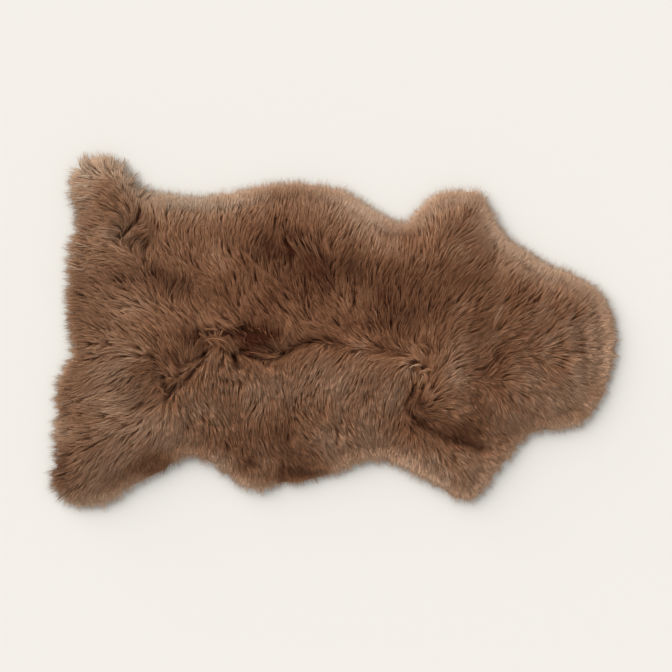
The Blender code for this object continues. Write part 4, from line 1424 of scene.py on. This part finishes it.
def node(tree, kind, **values):
    """A node with some of its settings and input values set."""
    made = tree.nodes.new(kind)
    for name, value in values.items():
        if name in made.inputs:
            made.inputs[name].default_value = value
        else:
            setattr(made, name, value)
    return made


def plug(tree, value, socket):
    """Links another node's output to a socket, or sets the socket to a plain value."""
    if isinstance(value, bpy.types.NodeSocket):
        tree.links.new(value, socket)
    else:
        socket.default_value = value


def math_node(tree, operation, first, second):
    """What a maths node makes of its two inputs."""
    made = node(tree, "ShaderNodeMath", operation=operation)
    plug(tree, first, made.inputs[0])
    plug(tree, second, made.inputs[1])
    return made.outputs[0]


def range_node(tree, value, low, high):
    """A value that grows from 0 to 1 as another goes from low to high."""
    made = node(tree, "ShaderNodeMapRange", **{"From Min": low, "From Max": high})
    plug(tree, value, made.inputs["Value"])
    return made.outputs["Result"]


MIX_SHARE, MIX_FIRST, MIX_SECOND, MIX_RESULT = 0, 6, 7, 2


def mix_node(tree, share, first, second):
    """Two colours mixed. A Mix node has sockets for each type, so the ones for colour go by number."""
    made = node(tree, "ShaderNodeMix", data_type="RGBA")
    plug(tree, share, made.inputs[MIX_SHARE])
    plug(tree, first, made.inputs[MIX_FIRST])
    plug(tree, second, made.inputs[MIX_SECOND])
    return made.outputs[MIX_RESULT]


# %% The wool colour group
COLOUR = "NodeSocketColor"
NUMBER = "NodeSocketFloat"
DARK_ROOT = (0.066, 0.0160, 0.0056)
RED_BROWN = (0.347, 0.163, 0.0835)
PALE_TIP = (0.67, 0.44, 0.29)
STREAKS_BY_TONE = 90.0
STREAKS_ALONG = 3.0
NEITHER_SHADED_NOR_BLEACHED_AT = 0.6
ROOT_ROUGHNESS = 0.82
TIP_SMOOTHER = 0.18
wool_colour = new_group(
    "wool_colour",
    {
        "Along": (NUMBER, 0.5),
        "Tone": (NUMBER, 0.5),
        "Dark Colour": (COLOUR, (*DARK_ROOT, 1.0)),
        "Middle Colour": (COLOUR, (*RED_BROWN, 1.0)),
        "Pale Colour": (COLOUR, (*PALE_TIP, 1.0)),
        "Root Shade And Bleaching": (NUMBER, 0.34),
        "Streak": (NUMBER, 0.3),
    },
    {"Color": COLOUR, "Roughness": NUMBER},
)


def fill_wool_colour(group):
    """Links the group: the level from tone, height along the strand and streaks, then the mix."""
    source = group.nodes["Group Input"].outputs
    sink = group.nodes["Group Output"].inputs
    links = group.links
    spread = node(group, "ShaderNodeCombineXYZ")
    links.new(math_node(group, "MULTIPLY", source["Tone"], STREAKS_BY_TONE), spread.inputs["X"])
    links.new(math_node(group, "MULTIPLY", source["Along"], STREAKS_ALONG), spread.inputs["Y"])
    noise = node(group, "ShaderNodeTexNoise", Scale=1.0, Detail=2.0)
    links.new(spread.outputs[0], noise.inputs["Vector"])
    streak = math_node(group, "SUBTRACT", noise.outputs["Fac"], 0.5)
    streak = math_node(group, "MULTIPLY", streak, source["Streak"])
    # Darker towards the root and paler towards the tip: painted shade at the root, bleached tips.
    root_shade_and_bleach = math_node(group, "SUBTRACT", source["Along"], NEITHER_SHADED_NOR_BLEACHED_AT)
    root_shade_and_bleach = math_node(group, "MULTIPLY", root_shade_and_bleach, source["Root Shade And Bleaching"])
    level = math_node(group, "ADD", source["Tone"], root_shade_and_bleach)
    level = math_node(group, "ADD", level, streak)
    low = range_node(group, level, 0.0, 0.5)
    high = range_node(group, level, 0.5, 1.0)
    darker = mix_node(group, low, source["Dark Colour"], source["Middle Colour"])
    links.new(mix_node(group, high, darker, source["Pale Colour"]), sink["Color"])
    rough = math_node(group, "MULTIPLY", source["Along"], -TIP_SMOOTHER)
    links.new(math_node(group, "ADD", rough, ROOT_ROUGHNESS), sink["Roughness"])


fill_wool_colour(wool_colour)
print("wool colour group has", len(wool_colour.nodes), "nodes")


# %% The wool material
def wool_material(title, middle, pale=PALE_TIP):
    """Brown wool of these middle and pale colours: soft, with a faint sheen and little gloss."""
    material = bpy.data.materials.new(title)
    material.use_nodes = True
    tree = material.node_tree
    shader = tree.nodes["Principled BSDF"]
    group = tree.nodes.new("ShaderNodeGroup")
    group.node_tree = wool_colour
    group.inputs["Middle Colour"].default_value = (*middle, 1.0)
    group.inputs["Pale Colour"].default_value = (*pale, 1.0)
    for name in ("Along", "Tone"):
        reader = node(tree, "ShaderNodeAttribute", attribute_name=name.lower())
        tree.links.new(reader.outputs["Fac"], group.inputs[name])
    tree.links.new(group.outputs["Color"], shader.inputs["Base Color"])
    tree.links.new(group.outputs["Roughness"], shader.inputs["Roughness"])
    shader.inputs["Specular IOR Level"].default_value = 0.05
    shader.inputs["Sheen Weight"].default_value = 0.06
    shader.inputs["Sheen Roughness"].default_value = 0.5
    shader.inputs["Sheen Tint"].default_value = (0.75, 0.55, 0.42, 1.0)
    return material


SUN_BROWN = (0.332, 0.175, 0.098)
SUN_PALE = (0.655, 0.45, 0.305)
# The rim's colours are paler than the coat's: painted light, standing in for light through its thin hair.
# The copy for the side away from the sun is warmer: painted for the shade there.
RIM_BROWN = (0.36, 0.183, 0.099)
RIM_PALE = (0.76, 0.54, 0.385)
SHADED_SIDE_RIM_BROWN = (0.362, 0.174, 0.0895)
SHADED_SIDE_RIM_PALE = (0.775, 0.515, 0.35)
HIND_RIM_BROWN = (0.316, 0.188, 0.116)
HIND_RIM_PALE = (0.68, 0.52, 0.385)
red_wool = wool_material("red_brown_wool", RED_BROWN)
sun_wool = wool_material("sun_browned_wool", SUN_BROWN, SUN_PALE)
rim_wool = wool_material("rim_wool", RIM_BROWN, RIM_PALE)
shaded_side_rim_wool = wool_material("shaded_side_rim_wool", SHADED_SIDE_RIM_BROWN, SHADED_SIDE_RIM_PALE)
hind_rim_wool = wool_material("hind_rim_wool", HIND_RIM_BROWN, HIND_RIM_PALE)
print("wool materials made")

# %% [markdown]
# ## The coat, in pieces
# All the strands in one mesh would be heavy to handle, so the coat is laid in strips from the rump
# to the neck. The strips are shuffled into each other where they meet, so no seam shows. The rump
# was out in the weather the most, and its wool is a little less red. The hair at the rim has
# strips of its own: greyer at the hind end and on the left, and on the right and at the neck,
# which face away from the sun, a warmer copy of the rim's colour, painted for the shade there.

# %% Lay the coat
LONG_STRIPS = {
    "rump": sun_wool,
    "loin": red_wool,
    "ribs": red_wool,
    "withers": red_wool,
    "neck": red_wool,
}
SHORT_STRIPS = {"rump": sun_wool, "ribs": red_wool, "neck": red_wool}
SUNLIT_SIDE_RIM_STRIPS = {"hind": hind_rim_wool, "left": rim_wool}
SHADED_SIDE_RIM_STRIPS = {"right": shaded_side_rim_wool, "fore": shaded_side_rim_wool}
STRIP_SHUFFLE = 30.0 * MM
SHADED_SIDE_FROM = 0.3
SIDE_SHUFFLE = 0.1


def lay_in_strips(prefix, strips, strand, lines, widths, tones):
    """Splits the strands by where their roots are along the throw, and lays each strip."""
    order = np.argsort(lines[:, 0, 0] + STRIP_SHUFFLE * rng.normal(size=len(lines)), kind="stable")
    made = []
    for strip, chosen in zip(strips, np.array_split(order, len(strips))):
        piece = lay(f"{prefix}_{strip}", strand, lines[chosen], widths[chosen], tones[chosen])
        piece.data.materials.append(strips[strip])
        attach(piece, "root")
        made.append(piece)
        print(piece.name, len(chosen), "strands", len(chosen) * triangles_in(strand), "triangles")
    return made


# Rim hair on the side away from the sun takes the copy of the rim's colour painted for the shade.
on_shaded_side = fuzz_shaded + SIDE_SHUFFLE * rng.normal(size=fuzz) > SHADED_SIDE_FROM
sunlit_side_fuzz, shaded_side_fuzz = (
    [of_fuzz[here] for of_fuzz in (fuzz_lines, fuzz_widths, fuzz_tones)]
    for here in (~on_shaded_side, on_shaded_side)
)
coat = [
    *lay_in_strips("long_wool", LONG_STRIPS, long_strand, long_lines, long_widths, long_tones),
    *lay_in_strips("short_wool", SHORT_STRIPS, short_strand, short_lines, short_widths, short_tones),
    *lay_in_strips("rim_hair", SUNLIT_SIDE_RIM_STRIPS, short_strand, *sunlit_side_fuzz),
    *lay_in_strips("rim_hair", SHADED_SIDE_RIM_STRIPS, short_strand, *shaded_side_fuzz),
    *lay_in_strips("curls", {"inner": red_wool}, curl_strand, curl_lines, curl_widths, curl_tones),
    *lay_in_strips("wisps", {"hind": hind_rim_wool}, curl_strand, wisp_lines, wisp_widths, wisp_tones),
]

# %% [markdown]
# ## The underwool
# Between the locks, and in the partings, the dense short wool at the skin shows as a dark, felted
# ground: darker than the locks, which is partly painted shade, and its tone carries the painted
# light and shade of the coat. It is a grid cut to the throw's outline, raised to about two thirds
# of the height of the coat, lower towards its edge, and closed below. Its edge lies past the rim,
# under the ends of the locks. Points of the grid past that edge are drawn back onto it.

# %% A grid cut to the outline
def places_of(piece):
    """The (x, y) of each point of a piece."""
    return np.array([vert.co[:2] for vert in piece.data.vertices])


def cut_to_outline(name, cell, overhang):
    """A flat grid whose edge follows the throw's rim, outside it by what a function gives."""
    deselect()
    width, depth = (high - low for low, high in zip(cad_low[:2], cad_high[:2]))
    bpy.ops.mesh.primitive_grid_add(
        x_subdivisions=int(width / cell), y_subdivisions=int(depth / cell), size=1.0
    )
    cloth = bpy.context.object
    cloth.name = name
    cloth.scale = (width, depth, 1.0)
    bpy.ops.object.transform_apply(location=True, rotation=True, scale=True)
    places = places_of(cloth)
    within = read(inside, places) + overhang(places)
    moved = np.where(within[:, None] < 0, places + outward(places) * within[:, None], places)
    bpy.ops.object.mode_set(mode="EDIT")
    bpy.ops.mesh.select_mode(type="VERT")
    bpy.ops.mesh.select_all(action="DESELECT")
    bpy.ops.object.mode_set(mode="OBJECT")
    for vert, place, depth_in in zip(cloth.data.vertices, moved, within):
        vert.co = (place[0], place[1], 0.0)
        vert.select = depth_in < -cell
    bpy.ops.object.mode_set(mode="EDIT")
    bpy.ops.mesh.delete(type="VERT")
    bpy.ops.object.mode_set(mode="OBJECT")
    return cloth


def raise_to(piece, tops):
    """Moves each point of a piece to its own height."""
    for vert, top in zip(piece.data.vertices, tops):
        vert.co.z = top


def pick(piece):
    """Selects one piece alone and makes it the active one."""
    deselect()
    bpy.context.view_layer.objects.active = piece
    piece.select_set(True)


def smooth_closed(piece):
    """Points a closed piece's faces outwards and shades it smooth."""
    pick(piece)
    bpy.ops.object.mode_set(mode="EDIT")
    bpy.ops.mesh.select_all(action="SELECT")
    bpy.ops.mesh.normals_make_consistent(inside=False)
    bpy.ops.object.mode_set(mode="OBJECT")
    bpy.ops.object.shade_smooth_by_angle(angle=math.radians(50))


# %% Underwool
UNDER_CELL = 9.0 * MM
UNDER_HEIGHT = 0.64
UNDER_EDGE = 0.1
UNDER_FLOOR = 1.2 * MM
UNDER_THINNEST = 0.8 * MM
UNDER_SLOPE = 42.0 * MM
UNDER_OVERHANG = 15.5 * MM
UNDER_ALONG = 0.4
# Darker than the coat's middle tone: partly painted shade between the locks.
UNDER_TONE = 0.41


def under_overhang(places):
    """How far the underwool reaches past the rim: least at the ragged hind end."""
    reach = UNDER_OVERHANG + 5.5 * MM * shaded(places) - 12 * MM * (raggedness(places) - LEAST_RAGGED)
    return reach - less_reach(places)


rng = np.random.default_rng(19)
under = cut_to_outline("underwool", UNDER_CELL, under_overhang)
under_places = places_of(under)
under_share = (read(inside, under_places) + under_overhang(under_places)) / UNDER_SLOPE
under_tops = UNDER_HEIGHT * read(envelope, under_places) * np.clip(UNDER_EDGE + under_share, 0, 1)
under_tops += 0.8 * MM * wander(under_places, 22 * MM) * np.clip(under_share, 0, 1)
raise_to(under, np.maximum(under_tops, UNDER_FLOOR + UNDER_THINNEST))
bpy.ops.object.mode_set(mode="EDIT")
bpy.ops.mesh.select_all(action="SELECT")
bpy.ops.mesh.extrude_region_move(TRANSFORM_OT_translate={"value": (0, 0, 0)})
bpy.ops.transform.resize(value=(1.0, 1.0, 0.0), center_override=(0.0, 0.0, UNDER_FLOOR))
bpy.ops.object.mode_set(mode="OBJECT")
smooth_closed(under)
under_places = places_of(under)
# Its tone takes the patches' painted light and shade, the painted rim light and the painted shade of the
# creases.
under_tones = UNDER_TONE + 0.7 * patch_tone_and_painted_light(under_places) + painted_rim_light(under_places)
under_tones -= read(painted_crease_shade, under_places)
under_tones = np.clip(under_tones + 0.05 * wander(under_places, 12 * MM), 0.0, 1.0)
keep_numbers(under.data, np.full(len(under_places), UNDER_ALONG), under_tones)
print("underwool has", len(under.data.polygons), "faces")


# %% Felted wool
def grain_bump(material, scale, strength, distance):
    """Gives a material a fine uneven surface, by a noise in Object coordinates."""
    tree = material.node_tree
    place = node(tree, "ShaderNodeTexCoord")
    grain = node(tree, "ShaderNodeTexNoise", Scale=scale, Detail=4.0)
    bump = node(tree, "ShaderNodeBump", Strength=strength, Distance=distance)
    tree.links.new(place.outputs["Object"], grain.inputs["Vector"])
    tree.links.new(grain.outputs["Fac"], bump.inputs["Height"])
    tree.links.new(bump.outputs["Normal"], tree.nodes["Principled BSDF"].inputs["Normal"])
    return grain


felted = wool_material("felted_wool", RED_BROWN)
grain_bump(felted, scale=300.0, strength=0.8, distance=2.0 * MM)
under.data.materials.append(felted)
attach(under, "root")
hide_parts("sheepskin")
print("underwool laid")

# %% [markdown]
# ## The pelt
# Under the wool is the skin, tanned to a soft leather about 2 mm thick, with a brushed suede
# underside. It is cut to the same outline, a little inside the wool, given small rises where it
# doesn't quite touch the floor, and thickened with Solidify.

# %% Pelt
PELT_CELL = 14.0 * MM
PELT_THICKNESS = 2.2 * MM
PELT_INSET = 3.0 * MM
PELT_RISE = 0.5 * MM
PELT_WAVE = 90.0 * MM

pelt = cut_to_outline("pelt", PELT_CELL, lambda places: np.full(len(places), -PELT_INSET))
pelt_places = places_of(pelt)
raise_to(pelt, PELT_THICKNESS + PELT_RISE * np.clip(wander(pelt_places, PELT_WAVE), 0, 1.5))
pick(pelt)
bpy.ops.object.modifier_add(type="SOLIDIFY")
pelt.modifiers["Solidify"].thickness = PELT_THICKNESS
pelt.modifiers["Solidify"].offset = -1.0
bpy.ops.object.modifier_apply(modifier="Solidify")
smooth_closed(pelt)


# %% Suede
DEEP_TAN = (0.30, 0.19, 0.115)
LIGHT_TAN = (0.50, 0.36, 0.245)


def suede_material():
    """Tan suede: cloudy where the nap is brushed one way or the other, over a fine grain."""
    material = bpy.data.materials.new("tan_suede")
    material.use_nodes = True
    tree = material.node_tree
    shader = tree.nodes["Principled BSDF"]
    grain = grain_bump(material, scale=900.0, strength=0.5, distance=0.6 * MM)
    cloud = node(tree, "ShaderNodeTexNoise", Scale=14.0, Detail=5.0)
    place = next(made for made in tree.nodes if made.type == "TEX_COORD")
    tree.links.new(place.outputs["Object"], cloud.inputs["Vector"])
    brushed = math_node(tree, "MULTIPLY", grain.outputs["Fac"], 0.35)
    brushed = math_node(tree, "ADD", brushed, cloud.outputs["Fac"])
    level = range_node(tree, brushed, 0.45, 0.95)
    tan = mix_node(tree, level, (*DEEP_TAN, 1.0), (*LIGHT_TAN, 1.0))
    tree.links.new(tan, shader.inputs["Base Color"])
    rough = math_node(tree, "MULTIPLY", cloud.outputs["Fac"], 0.2)
    tree.links.new(math_node(tree, "ADD", rough, 0.75), shader.inputs["Roughness"])
    shader.inputs["Specular IOR Level"].default_value = 0.2
    shader.inputs["Sheen Weight"].default_value = 0.3
    return material


pelt.data.materials.append(suede_material())
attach(pelt, "root")
print("pelt laid")
